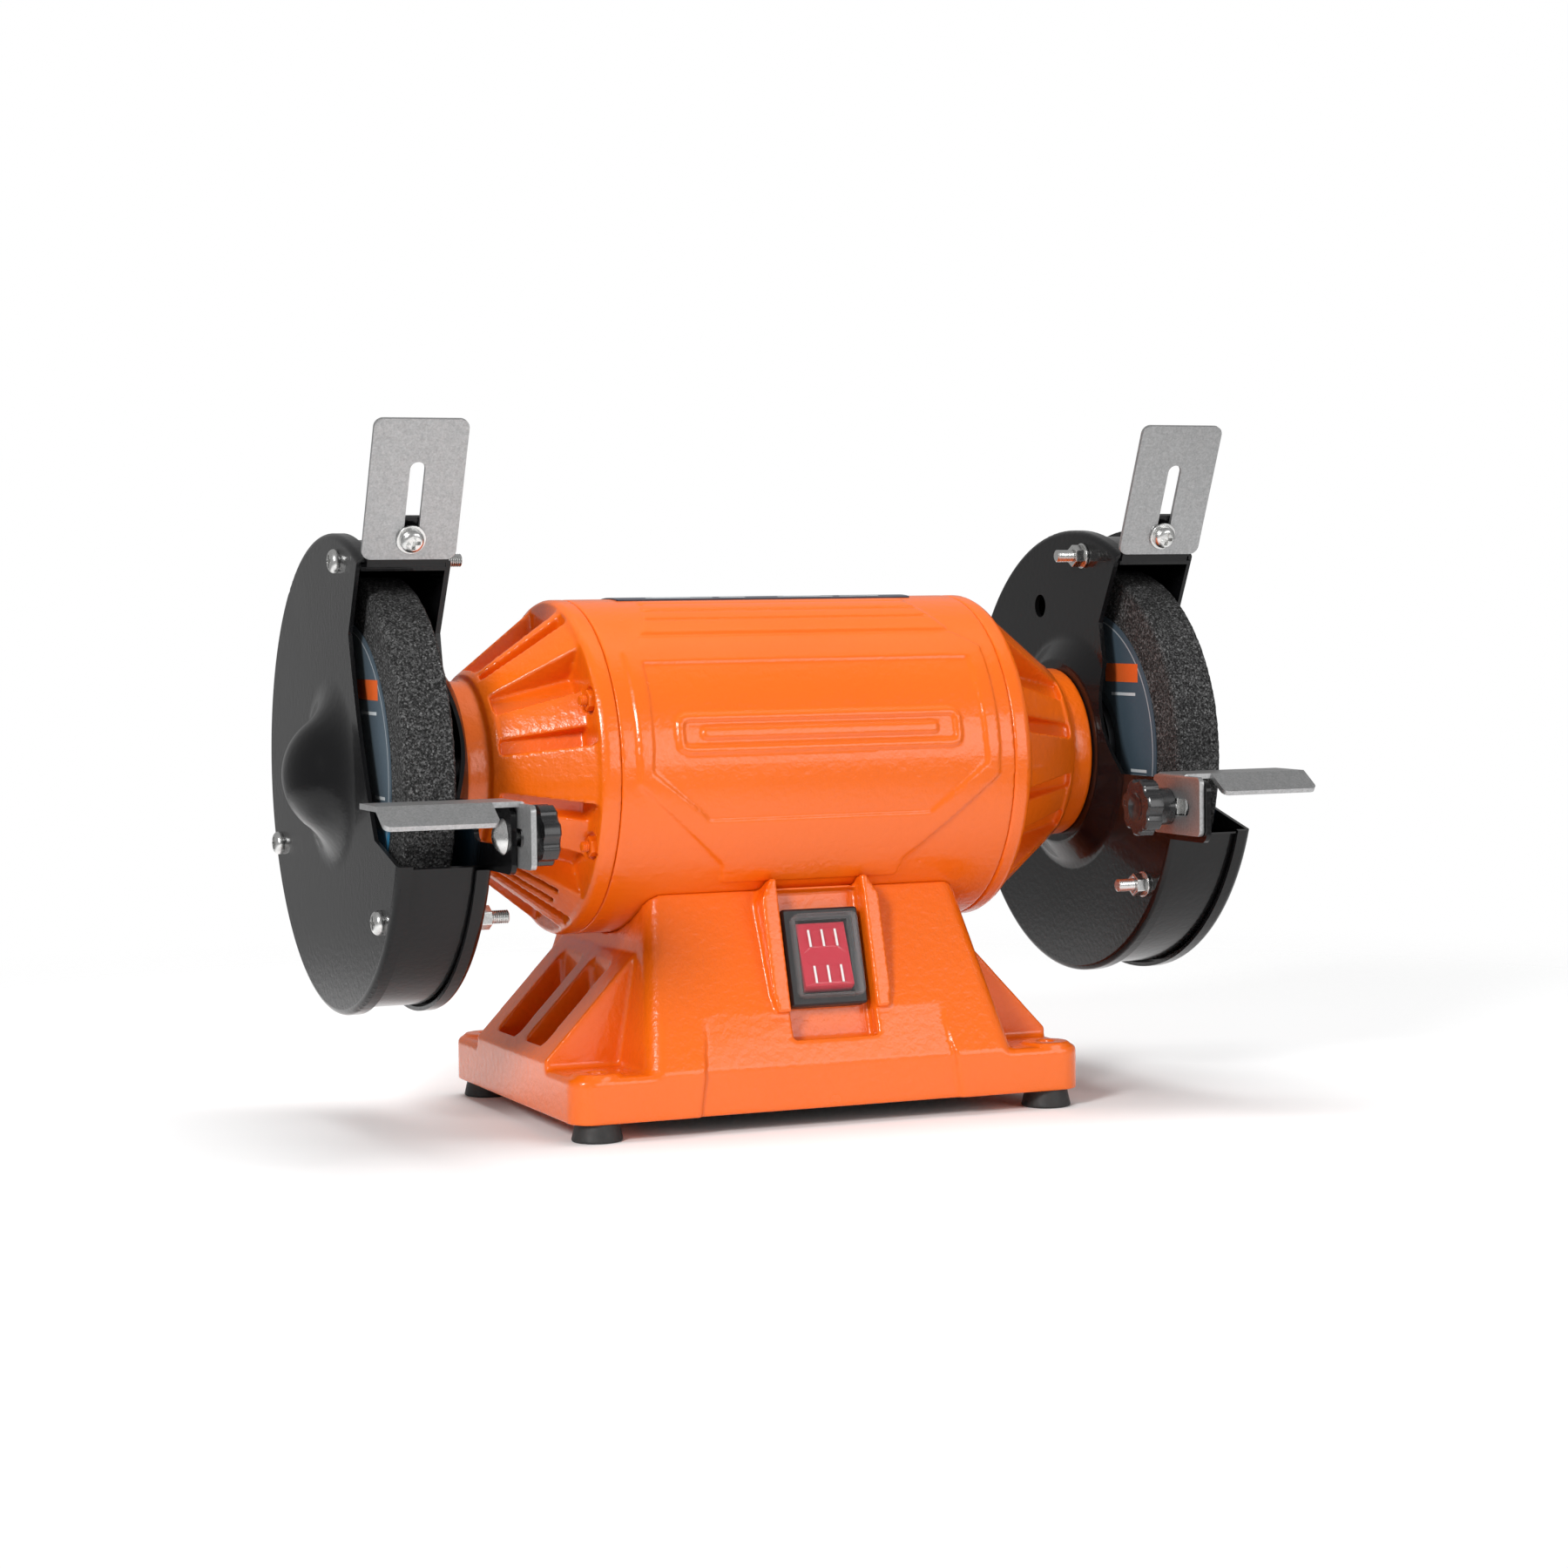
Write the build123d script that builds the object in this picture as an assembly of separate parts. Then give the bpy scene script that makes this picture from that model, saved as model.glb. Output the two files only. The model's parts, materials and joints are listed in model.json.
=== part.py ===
from build123d import *
import os
from math import atan2, cos, degrees, radians, sin, tan

# Bench grinder with two 150 mm wheels.
# Frame: X along the shaft (+X is the operator's right), -Y is the operator's side,
# +Z is up, and the origin is the centre of the four foot bolts on the bench plane.
os.makedirs("parts", exist_ok=True)

# ---- driving dimensions, mm ------------------------------------------------------------
SHAFT_Z = 136.7

# feet and base casting
FOOT_X = 94.3
FOOT_Y = 65.4
FOOT_H = 7.0
FOOT_R = 9.9
BENCH_HOLE_R = 3.25
BASE_HALF_X = 106.3
BASE_HALF_Y = 75.0
FLANGE_TOP = 24.5
BODY_FOOT_X = 76.5
BODY_FOOT_Y = 75.0
BODY_TOP_X = 64.5
BODY_TOP_Y = 44.0
BODY_TOP_Z = 92.0
BASE_WALL = 3.6
FIT_GAP = 0.05

# motor shell and end bells
SHELL_R = 65.3
SHELL_BORE_R = 61.5
SHELL_X = 82.0
RING_X = 89.0
CONE_X = 123.5
BOSS_X = 133.3
BOSS_R = 34.5
BOLT_PITCH_R = 58.5
BOLT_DEG = (28, -28, 152, 208)
TIE_R = 2.0

# shaft line
BEARING_X = 118.0
BEARING_W = 11.0
SHAFT_R = 7.5
ARBOR_R = 6.35
SHAFT_END = 184.5
CORE_X = 30.0
ROTOR_R = 32.6
STATOR_BORE_R = 33.1
STATOR_R = 56.5

# wheels
WHEEL_R = 75.0
WHEEL_IN = 149.5
WHEEL_OUT = 169.1
LABEL_R = 58.0
LABEL_T = 0.35

# guards
GUARD_R = 91.5
GUARD_IN = 140.0
PLATE_T = 2.0
COVER_OUT = 176.0
COVER_T = 1.6
RIM_W = 6.0
BAND_R = 88.9
BAND_T = 1.6
GUARD_SCREW_R = 82.0
GUARD_SCREW_DEG = (80.0, -38.5, -158.0)
DOME_FOOT_R = 37.5
DOME_BALL = 25.0
DOME_CENTRE = 169.3
DOME_RISE = COVER_OUT - DOME_CENTRE
DOME_FLARE = (DOME_RISE ** 2 + DOME_FOOT_R ** 2 - DOME_BALL ** 2) / (2 * (DOME_BALL - DOME_RISE))
TOP_LIP_DEG = 61.5
LOW_LIP_DEG = -20.2

# tool rests
EAR_TOP = 129.0
EAR_LOW = 105.0
EAR_FRONT = -113.5
REST_BOLT_Z = 118.2
REST_BOLT_Y = {-1: -103.5, 1: -87.0}
REST_T = 2.0
REST_TAB_IN = 137.7
REST_END = 192.0
REST_DEPTH = 21.0
REST_TOP = EAR_TOP + 0.3 + REST_T
REST_LIP_DEG = 33.0
REST_LIP = 12.2
REST_LIP_X = 150.0
KNOB_HUB_R = 7.3
KNOB_R = 11.2

# spark deflectors: a flat plate that leans forward over the guard mouth
SPARK_X = 157.5
SPARK_Y = -45.6
SPARK_Z = 217.5
SPARK_LEAN = 23.2
SPARK_W = 36.0
SPARK_H = 54.8
SPARK_T = 1.6
SPARK_SCREW_UP = 8.2

# switch, on a floor that leans back 15.8 degrees in the front of the base
SWITCH_X = 2.2
SWITCH_Y = -53.6
SWITCH_Z = 62.0
SWITCH_LEAN = 15.8
SWITCH_W = 32.0
SWITCH_H = 38.0
BEZEL_T = 6.0


# ---- helpers --------------------------------------------------------------------------
def cyl_x(r, x0, x1, y=0.0, z=SHAFT_Z):
    """Cylinder along X from x0 to x1."""
    return Pos((x0 + x1) / 2, y, z) * Rot(0, 90, 0) * Cylinder(r, abs(x1 - x0))


def cyl_z(r, x, y, z0, z1):
    """Upright cylinder from z0 to z1."""
    return Pos(x, y, (z0 + z1) / 2) * Cylinder(r, abs(z1 - z0))


def box(x0, x1, y0, y1, z0, z1):
    """Box given by its faces."""
    return Pos((x0 + x1) / 2, (y0 + y1) / 2, (z0 + z1) / 2) * Box(x1 - x0, y1 - y0, z1 - z0)


def polygon(points):
    """Flat face from (x, y) points."""
    return make_face(Polyline(*points, close=True).edges())


def lathe(points, angle=360):
    """Solid turned about the shaft axis from (x, r) points."""
    return Pos(0, 0, SHAFT_Z) * revolve(polygon(points), Axis.X, angle)


def ring_x(r_out, r_in, x0, x1):
    """Ring about the shaft axis."""
    return cyl_x(r_out, x0, x1) - cyl_x(r_in, x0 - 1, x1 + 1)


def sector(points, start_deg, sweep_deg):
    """Part turn about the shaft axis of (x, r) points.

    Angles start at the front (-Y) and grow upwards, over the top to the back.
    """
    face = polygon([(x, -r) for x, r in points])
    turned = revolve(face, Axis((0, 0, 0), (-1, 0, 0)), sweep_deg)
    return Pos(0, 0, SHAFT_Z) * Rot(-start_deg, 0, 0) * turned


def ring_sector(r_out, r_in, x0, x1, start_deg, sweep_deg):
    """Part of a ring about the shaft axis."""
    return sector([(x0, r_in), (x1, r_in), (x1, r_out), (x0, r_out)], start_deg, sweep_deg)


def around(r, deg):
    """(y, z) of a point at radius r and angle deg from the front."""
    return -r * cos(radians(deg)), SHAFT_Z + r * sin(radians(deg))


def side_prism(face_yz, x0, x1):
    """Prism along X from a face drawn in the YZ plane with (y, z) coordinates."""
    plane = Plane(origin=(x0, 0, 0), x_dir=(0, 1, 0), z_dir=(1, 0, 0))
    return extrude(plane * face_yz, x1 - x0)


def hexagon(across_flats, height):
    """Hexagonal prism along Z, centred."""
    return extrude(RegularPolygon(across_flats / 2, 6, major_radius=False), height / 2, both=True)


def both_sides(right_piece):
    """The piece and its mirror image on the left."""
    return [right_piece, mirror(right_piece, Plane.YZ)]


def on_side(piece, side):
    """A piece drawn on the right (+X), mirrored when side is -1."""
    return piece if side == 1 else mirror(piece, Plane.YZ)


def threaded_x(r, pitch, x0, x1, y, z):
    """Threaded stretch of a screw along X, as a row of ring-shaped crests."""
    count = round((x1 - x0) / pitch)
    outline = [(x0, 0)]
    for i in range(count):
        outline.append((x0 + i * pitch, r - 0.55 * pitch))
        outline.append((x0 + (i + 0.4) * pitch, r))
        outline.append((x0 + (i + 0.6) * pitch, r))
    outline.append((x0 + count * pitch, r - 0.55 * pitch))
    outline.append((x0 + count * pitch, 0))
    return Pos(0, y, z) * revolve(polygon(outline), Axis.X, 360)


def save(name, *pieces):
    """Writes one node: one or more separate solids."""
    solids = []
    for piece in pieces:
        solids.extend(piece.solids())
    node = solids[0] if len(solids) == 1 else Compound(children=solids)
    node.label = name
    export_step(node, f"parts/{name}.step")


SWITCH_PLANE = Plane(
    origin=(SWITCH_X, SWITCH_Y, SWITCH_Z),
    x_dir=(1, 0, 0),
    z_dir=(0, -cos(radians(SWITCH_LEAN)), sin(radians(SWITCH_LEAN))),
)
SPARK_PLANE = Plane(
    origin=(SPARK_X, SPARK_Y, SPARK_Z),
    x_dir=(1, 0, 0),
    z_dir=(0, -cos(radians(SPARK_LEAN)), -sin(radians(SPARK_LEAN))),
)


# ---- base casting -----------------------------------------------------------------------
RAMP_HALF_Y = 42.0
RAMP_TOP_X = 70.0
RAMP_TOP_Z = 66.0
RAMP_FOOT_Z = 27.5
SADDLE_SCREWS = [(x, y) for x in (-57, 57) for y in (-15, 15)]
PLATE_SCREWS = [(x, y) for x in (-61, 61) for y in (-57, 57)]
GLAND_X = -38.0
GLAND_Z = 38.0


def body_loft(inset, z0, z1):
    """Tapered block of the base body, shrunk by inset on every side."""
    def half_sizes(z):
        t = (z - FLANGE_TOP) / (BODY_TOP_Z - FLANGE_TOP)
        half_x = BODY_FOOT_X + (BODY_TOP_X - BODY_FOOT_X) * t - inset
        half_y = BODY_FOOT_Y + (BODY_TOP_Y - BODY_FOOT_Y) * t - inset
        return half_x, half_y
    sections = []
    for z in (z0, z1):
        half_x, half_y = half_sizes(z)
        sections.append(Pos(0, 0, z) * Rectangle(2 * half_x, 2 * half_y))
    return loft(sections)


def slanted_edges(solid, low, high):
    """The four corner edges of a tapered block."""
    return [e for e in solid.edges() if abs(e.bounding_box().size.Z - (high - low)) < 0.5]


def end_ramp():
    """Ribbed ramp on the right end, with two deep pockets between its three ribs."""
    outline = polygon([(60, FOOT_H), (BASE_HALF_X, FOOT_H), (BASE_HALF_X, RAMP_FOOT_Z),
                       (RAMP_TOP_X, RAMP_TOP_Z), (60, RAMP_TOP_Z)])
    face = Plane(origin=(0, RAMP_HALF_Y, 0), x_dir=(1, 0, 0), z_dir=(0, -1, 0)) * outline
    ramp = extrude(face, 2 * RAMP_HALF_Y)
    edges = ramp.edges().filter_by(Axis.Y).sort_by(Axis.Z)[-4:]
    return ramp, edges


def end_pockets():
    """The two pockets that are cut into a ramp from above."""
    outline = polygon([(73.5, 27), (102, 27), (102, 70), (73.5, 70)])
    pockets = []
    for y0, y1 in ((-27.0, -6.5), (4.5, 28.0)):
        face = Plane(origin=(0, y1, 0), x_dir=(1, 0, 0), z_dir=(0, -1, 0)) * outline
        pocket = extrude(face, y1 - y0)
        pockets.append(fillet(pocket.edges().filter_by(Axis.Z), 3))
    return pockets


def corner_pads():
    """Raised round pads over the four feet."""
    pads = []
    for x in (-FOOT_X, FOOT_X):
        for y in (-FOOT_Y, FOOT_Y):
            pads.append(cyl_z(9.0, x, y, FLANGE_TOP - 1, FLANGE_TOP + 1.2))
    return pads


def switch_recess():
    """Sunk floor for the switch: the space above the floor plane between the two fins."""
    recess = Pos(0.3, -2.5, 15) * Box(35.5, 59, 30)
    return SWITCH_PLANE * recess


def skirt_recess():
    """Shallow dish low in the middle of the front, which fades out on the sloping face."""
    outline = polygon([(-82, 0), (-73.6, 0), (-72.9, FLANGE_TOP), (-66.0, 44), (-82, 44)])
    dish = side_prism(outline, -57, 54)
    slant = extrude(Plane.XZ * polygon([(-57, -1), (-57, 45), (-51, 45)]), 100)
    other = extrude(Plane.XZ * polygon([(54, -1), (54, 45), (48, 45)]), 100)
    return dish - slant - other


def switch_fins():
    """Two upright fins that flank the switch and taper to a point at their foot."""
    fins = []
    for side in (-1, 1):
        outline = polygon([(side * 17.9, 31), (side * 20, 31), (side * 24.6, 23), (side * 24.6, -14),
                           (side * 21, -34), (side * 17.9, -33)])
        fin = extrude(outline, 9.4)
        foot = Pos(0, -34, 12) * Rot(14, 0, 0) * Box(80, 22, 8)
        fins.append(SWITCH_PLANE * (fin - foot))
    return fins


def make_base():
    flange = box(-BASE_HALF_X, BASE_HALF_X, -BASE_HALF_Y, BASE_HALF_Y, FOOT_H, FLANGE_TOP)
    flange = fillet(flange.edges().filter_by(Axis.Z), 9)
    flange = fillet(flange.faces().sort_by(Axis.Z)[-1].edges(), 2.5)
    body = body_loft(0, FOOT_H, BODY_TOP_Z)
    body = fillet(slanted_edges(body, FOOT_H, BODY_TOP_Z), 7)
    body = body & box(-90, 90, -BASE_HALF_Y, BASE_HALF_Y, FOOT_H, 120)
    base = flange + body
    for pad in corner_pads():
        base += pad
    ramp, edges = end_ramp()
    ramp = fillet(edges, 1.5)
    for piece in both_sides(ramp):
        base += piece
    base += SWITCH_PLANE * (Pos(0, -5, -4) * Box(44, 66, 14))
    for fin in switch_fins():
        base += fin
    base -= skirt_recess()
    base -= Rot(0, 0, 180) * skirt_recess()
    for pocket in end_pockets():
        for piece in both_sides(pocket):
            base -= piece
    base -= switch_recess()
    # hollow inside, open below
    hollow = body_loft(BASE_WALL, FOOT_H - 1, 80)
    hollow &= box(-73, 73, -69.0, 69.0, 0, 80)
    hollow = hollow - cyl_x(SHELL_R + BASE_WALL + 0.6, -120, 120)
    hollow -= SWITCH_PLANE * (Pos(0, -3, 9) * Box(43, 70, 25))
    for x, y in SADDLE_SCREWS:
        hollow -= cyl_z(7, x, y, 62, 90)
    for x, y in PLATE_SCREWS:
        hollow -= cyl_z(6, x, y, FOOT_H + 1.5, 54)
    # boss behind the cord inlet, so that its flat seat doesn't break through
    hollow -= Pos(GLAND_X, 66, GLAND_Z) * Rot(90, 0, 0) * Cylinder(14.5, 16)
    base -= hollow
    base -= box(-69, 69, -65, 65, FOOT_H - 1, FOOT_H + 1.5)
    # cored out under the two ends, between the feet
    for piece in both_sides(box(80.5, 102.0, -52, 52, FOOT_H - 1, 21)):
        base -= piece
    # saddle, screw holes, bench holes, switch cut-out, wire hole and cord inlet
    base -= cyl_x(SHELL_R + FIT_GAP, -120, 120)
    for x, y in SADDLE_SCREWS:
        base -= cyl_z(3.05, x, y, 50, 90)
    for x, y in PLATE_SCREWS:
        base -= cyl_z(1.8, x, y, 0, 22)
    for x in (-FOOT_X, FOOT_X):
        for y in (-FOOT_Y, FOOT_Y):
            base -= cyl_z(BENCH_HOLE_R, x, y, 0, 60)
    base -= SWITCH_PLANE * Box(27.2, 32.2, 30)
    base -= cyl_z(7, -20, 0, 50, 90)
    gland_flat = Pos(GLAND_X, 80, GLAND_Z) * Rot(90, 0, 0) * Cylinder(12, 23)
    base -= gland_flat
    base -= Pos(GLAND_X, 60, GLAND_Z) * Rot(90, 0, 0) * Cylinder(6.05, 40)
    return base


def make_bottom_plate():
    plate = box(-68.7, 68.7, -64.7, 64.7, FOOT_H, FOOT_H + 1.5)
    plate = fillet(plate.edges().filter_by(Axis.Z), 4)
    for x, y in PLATE_SCREWS:
        plate -= cyl_z(2.1, x, y, 0, 20)
    for i in range(-3, 4):
        plate -= box(i * 8 - 1.5, i * 8 + 1.5, -30, -8, 0, 20)
    return plate


def make_bottom_plate_screws():
    screws = []
    for x, y in PLATE_SCREWS:
        head = cyl_z(3.4, x, y, FOOT_H - 2.2, FOOT_H)
        head = chamfer(head.edges().sort_by(Axis.Z)[0], 0.7)
        screws.append(head + cyl_z(1.75, x, y, FOOT_H - 0.5, FOOT_H + 13))
    return screws


def make_feet():
    feet = []
    for x in (-FOOT_X, FOOT_X):
        for y in (-FOOT_Y, FOOT_Y):
            foot = Pos(x, y, FOOT_H / 2) * Cone(FOOT_R, 8.3, FOOT_H)
            foot = fillet(foot.edges().sort_by(Axis.Z)[0], 0.8)
            feet.append(foot - cyl_z(BENCH_HOLE_R, x, y, -1, FOOT_H + 1))
    return feet


def make_base_screws():
    screws = []
    for x, y in SADDLE_SCREWS:
        head = cyl_z(5.0, x, y, 58, 62)
        socket = Pos(x, y, 58.9) * hexagon(5, 2.2)
        screws.append(head - socket + cyl_z(3.0, x, y, 61, 82))
    return screws


# ---- motor housing ----------------------------------------------------------------------
PANEL_RISE = 1.0
PANEL_SINK = 0.9


def wrap_point(x, deg, r):
    """Point on a cylinder of radius r about the shaft, deg from the front."""
    y, z = around(r, deg)
    return x, y, z


def front_panel(corners, r_in, r_out):
    """Raised or sunk region of the shell front whose outline is given as (x, deg) corners.

    The outline is projected straight back along Y, so that it is a prism cut by two cylinders.
    """
    points = []
    for x, deg in corners:
        _, z = around(SHELL_R, deg)
        points.append((x, z))
    plane = Plane(origin=(0, -80, 0), x_dir=(1, 0, 0), z_dir=(0, -1, 0))
    prism = extrude(plane * polygon(points), -72)
    return prism & ring_x(r_out, r_in, -SHELL_X, SHELL_X)


def mirrored_outline(half):
    """Closes an outline of (x, deg) corners that is symmetric about x = 0."""
    return half + [(-x, deg) for x, deg in reversed(half)]


def shoulder():
    """Raised shoulder of the shell below the data plate."""
    return front_panel(mirrored_outline([(56, 80.4), (56, 77), (64.5, 53.5)]), SHELL_R - 1, SHELL_R + 0.9)


def shoulder_grooves():
    """Three long grooves along the shoulder."""
    return [ring_sector(SHELL_R + 3, SHELL_R - 0.2, -half_x, half_x, deg, 1.5)
            for deg, half_x in ((59.6, 60), (66.0, 58.5), (72.4, 57))]


def make_housing():
    shell = cyl_x(SHELL_R, -SHELL_X, SHELL_X)
    outer = mirrored_outline([(66, 51), (75, 44), (75, -4), (38, -34), (36.5, -42)])
    inner = mirrored_outline([(68.5, 39.5), (70, 0), (46, -17)])
    for turn in (0, 180):
        raised = front_panel(outer, SHELL_R - 1, SHELL_R + PANEL_RISE)
        sunk = front_panel(inner, SHELL_R + PANEL_RISE - PANEL_SINK, SHELL_R + 3)
        badge = badge_bars()
        shell += turn_about_z(raised - sunk, turn)
        shell += turn_about_z(badge, turn)
        shell += turn_about_z(shoulder(), turn)
        for groove in shoulder_grooves():
            shell -= turn_about_z(groove, turn)
    shell -= cyl_x(SHELL_BORE_R, -SHELL_X - 1, SHELL_X + 1)
    # pads that hold the stator, clear of the four tie bolts
    for deg in (0, 57, 90, 123, 180, 237, 303):
        pad = ring_sector(SHELL_BORE_R + 1, STATOR_R, -31, 31, deg - 4, 8)
        shell += pad
    # bosses for the screws that come up through the saddle
    for x, y in SADDLE_SCREWS:
        boss = cyl_z(7, x, y, 70, 88) & cyl_x(SHELL_R - 1, -SHELL_X, SHELL_X)
        shell += boss
        shell -= cyl_z(3.05, x, y, 60, 83)
    shell -= cyl_z(7, -20, 0, 50, 90)
    return shell


def turn_about_z(shape, deg):
    """Turns a shape about the upright axis through the origin."""
    return shape if deg == 0 else Rot(0, 0, deg) * shape


def badge_bars():
    """Plain raised badge on the inner panel: a frame with one bar in it."""
    plane = Plane(origin=(0, -80, SHAFT_Z + 14.5), x_dir=(1, 0, 0), z_dir=(0, -1, 0))
    badge = RectangleRounded(118, 14.5, 4) - RectangleRounded(113.6, 10.1, 2.4) + SlotOverall(98, 3.6)
    return extrude(plane * badge, -60) & ring_x(SHELL_R + 1.1, SHELL_R - 1, -SHELL_X, SHELL_X)


def make_data_plate():
    """Blank data plate bent over the top of the shell."""
    r = SHELL_R + FIT_GAP
    plate = ring_sector(r + 0.5, r, -63, 63, 81, 18)
    mouth = polygon([(-63.5, -25), (-55, -25), (-63.5, -8.5)])
    cut = extrude(Pos(0, 0, 190) * mouth, 30)
    for piece in (cut, mirror(cut, Plane.YZ)):
        plate -= piece
        plate -= mirror(piece, Plane.XZ)
    return plate


# ---- end bells ------------------------------------------------------------------------
FULL_RIBS = ((0, 10.5), (57, 8), (73.5, 2.2), (106.5, 2.2), (123, 8), (180, 10.5), (237, 8), (254, 3), (286, 3),
             (303, 8))
LOW_RIBS = ((27.5, 8), (152.5, 8), (207.5, 8), (332.5, 8))
POCKET_X = RING_X + 0.8
POCKET_END = 120.5


def cone_cut(ring_r, boss_r, start, sweep):
    """Cut between the ring and the boss, down to a line from ring_r to boss_r."""
    return sector([(POCKET_X, 67), (POCKET_X, ring_r), (POCKET_END, boss_r), (POCKET_END + 1, 46)], start, sweep)


def bell_pockets():
    """Pockets between the ribs, and the lowered ribs that carry the tie bolts."""
    ribs = sorted([(deg, half, 0) for deg, half in FULL_RIBS] + [(deg, half, 1) for deg, half in LOW_RIBS])
    cuts = []
    for i, (deg, half, low) in enumerate(ribs):
        if low:
            cuts.append(cone_cut(54.0, 38.2, deg - half - 0.5, 2 * half + 1))
        following = ribs[(i + 1) % len(ribs)]
        next_deg = following[0] + (360 if following[0] < deg else 0)
        start = deg + half
        cuts.append(cone_cut(46.5, 36.2, start, next_deg - following[1] - start))
    return cuts


def bell_body(tie_hole_r):
    """Right end bell: ring, ribbed cone and bearing boss."""
    bell = lathe([(SHELL_X, 0), (SHELL_X, SHELL_R), (RING_X - 1.5, SHELL_R), (RING_X + 0.6, 64.2),
                  (RING_X + 1.6, 62.4), (CONE_X, 37.0), (CONE_X, BOSS_R), (BOSS_X - 0.8, BOSS_R),
                  (BOSS_X, BOSS_R - 0.8), (BOSS_X, 0)])
    for pocket in bell_pockets():
        bell -= pocket
    # inside of the bell
    bell -= lathe([(SHELL_X - 1, 0), (SHELL_X - 1, 61.5), (RING_X - 3.5, 60.5), (RING_X - 3.5, 44.0),
                   (113.0, 33.5), (113.0, 0)])
    bell += ring_x(23.5, 17.0, 108, 122)
    bell -= cyl_x(17.5 + 0.01, 100, BEARING_X + BEARING_W)
    bell -= cyl_x(9.5, 100, 140)
    # spot faces and holes for the four tie bolts
    for deg in BOLT_DEG:
        y, z = around(BOLT_PITCH_R, deg)
        bell -= cyl_x(5.2, RING_X - 1.0, 98, y, z)
        bell -= cyl_x(tie_hole_r, 70, 100, y, z)
    # vent slots low on the front and back
    for deg in (233.5, 240.5, 299.5, 306.5):
        bell -= vent_slot(deg)
    # three tapped holes in the boss for the guard
    for deg in GUARD_MOUNT_DEG:
        y, z = around(GUARD_MOUNT_R, deg)
        bell -= cyl_x(2.52, 121.5, 140, y, z)
    return bell


GUARD_MOUNT_R = 27.0
GUARD_MOUNT_DEG = (90, 210, 330)


def vent_slot(deg):
    """Long slot through the cone wall, running towards the boss."""
    slot = Pos(103.5, 0, 0) * Rot(0, 38.6, 0) * Box(23, 2.6, 40)
    slot = Pos(0, 0, 46) * slot
    return Pos(0, 0, SHAFT_Z) * Rot(90 - deg, 0, 0) * slot


def make_end_bell(side):
    bell = bell_body(2.15)
    return on_side(bell, side)


def make_tie_bolts():
    """Four long bolts with round heads on the right bell."""
    bolts = []
    for deg in BOLT_DEG:
        y, z = around(BOLT_PITCH_R, deg)
        seat = RING_X - 1.0
        head = cyl_x(4.2, seat, seat + 2.8, y, z)
        head = fillet(head.edges().sort_by(Axis.X)[-1], 2.2)
        tip = threaded_x(TIE_R, 0.7, -seat - 6.0, -seat - 3.2, y, z)
        bolts.append(head + cyl_x(TIE_R, -seat - 3.2, seat + 0.5, y, z) + tip)
    return bolts


def make_tie_nuts():
    nuts = []
    for deg in BOLT_DEG:
        y, z = around(BOLT_PITCH_R, deg)
        x = -(RING_X - 1.0) - 1.6
        nut = Pos(x, y, z) * Rot(0, 90, 0) * hexagon(7, 3.2)
        nuts.append(nut - cyl_x(TIE_R + 0.02, x - 5, x + 5, y, z))
    return nuts


# ---- stator, rotor and bearings ------------------------------------------------------------
SLOTS = 24


def slot_bar(r0, r1, width, half_x):
    """Radial bar at the front, from r0 to r1."""
    return box(-half_x, half_x, -r1, -r0, SHAFT_Z - width / 2, SHAFT_Z + width / 2)


def turned(shape, deg):
    """Turns a shape about the shaft axis."""
    return Pos(0, 0, SHAFT_Z) * Rot(-deg, 0, 0) * Pos(0, 0, -SHAFT_Z) * shape


def make_stator_core():
    core = ring_x(STATOR_R - FIT_GAP, STATOR_BORE_R, -CORE_X, CORE_X)
    for i in range(SLOTS):
        deg = i * 360 / SLOTS
        core -= turned(slot_bar(STATOR_BORE_R - 1, STATOR_BORE_R + 3, 2.2, 40), deg)
        core -= turned(slot_bar(36, 47, 4.6, 40), deg)
    return core


def make_windings():
    coil = lathe([(CORE_X + 0.1, 35.5), (CORE_X + 8, 35.5), (CORE_X + 14, 38), (CORE_X + 15, 43),
                  (CORE_X + 13, 49), (CORE_X + 7, 52), (CORE_X + 0.1, 51)])
    winding = coil + mirror(coil, Plane.YZ)
    for i in range(SLOTS):
        winding += turned(slot_bar(36.1, 46.9, 4.4, CORE_X + 1), i * 360 / SLOTS)
    return winding


def make_rotor_core():
    return ring_x(ROTOR_R, 10.01, -CORE_X, CORE_X)


def make_rotor_cage():
    """Cast end rings with short fan blades."""
    ring = ring_x(31.5, 20.0, CORE_X, CORE_X + 6)
    for i in range(8):
        ring += turned(box(CORE_X + 5.5, CORE_X + 16, -30, -21, SHAFT_Z - 1.2, SHAFT_Z + 1.2), i * 45)
    return both_sides(ring)


def make_shaft():
    half = [(0, 10.0), (58, 10.0), (58, 9.0), (BEARING_X, 9.0), (BEARING_X, SHAFT_R),
            (143.0, SHAFT_R), (143.0, ARBOR_R), (SHAFT_END - 1, ARBOR_R),
            (SHAFT_END, ARBOR_R - 1), (SHAFT_END, 0)]
    profile = [(0, 0)] + half
    right = lathe(profile)
    return right + mirror(right, Plane.YZ)


def make_races(outer):
    races = []
    x0 = BEARING_X
    x1 = BEARING_X + BEARING_W
    middle = (x0 + x1) / 2
    groove = Pos(middle, 0, SHAFT_Z) * Rot(0, 90, 0) * Torus(12.5, 3.06)
    if outer:
        race = ring_x(17.5, 14.6, x0, x1)
    else:
        race = ring_x(10.4, SHAFT_R + 0.01, x0, x1)
    race -= groove
    return both_sides(race)


def make_balls():
    balls = []
    middle = BEARING_X + BEARING_W / 2
    for side in (-1, 1):
        for i in range(8):
            y, z = around(12.5, i * 45)
            balls.append(Pos(side * middle, y, z) * Sphere(3.0))
    return balls


def make_wave_washer():
    """Preload washer behind the left bearing."""
    return ring_x(16.5, 12.5, -(BEARING_X - 0.1), -(BEARING_X - 1.3))


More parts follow.
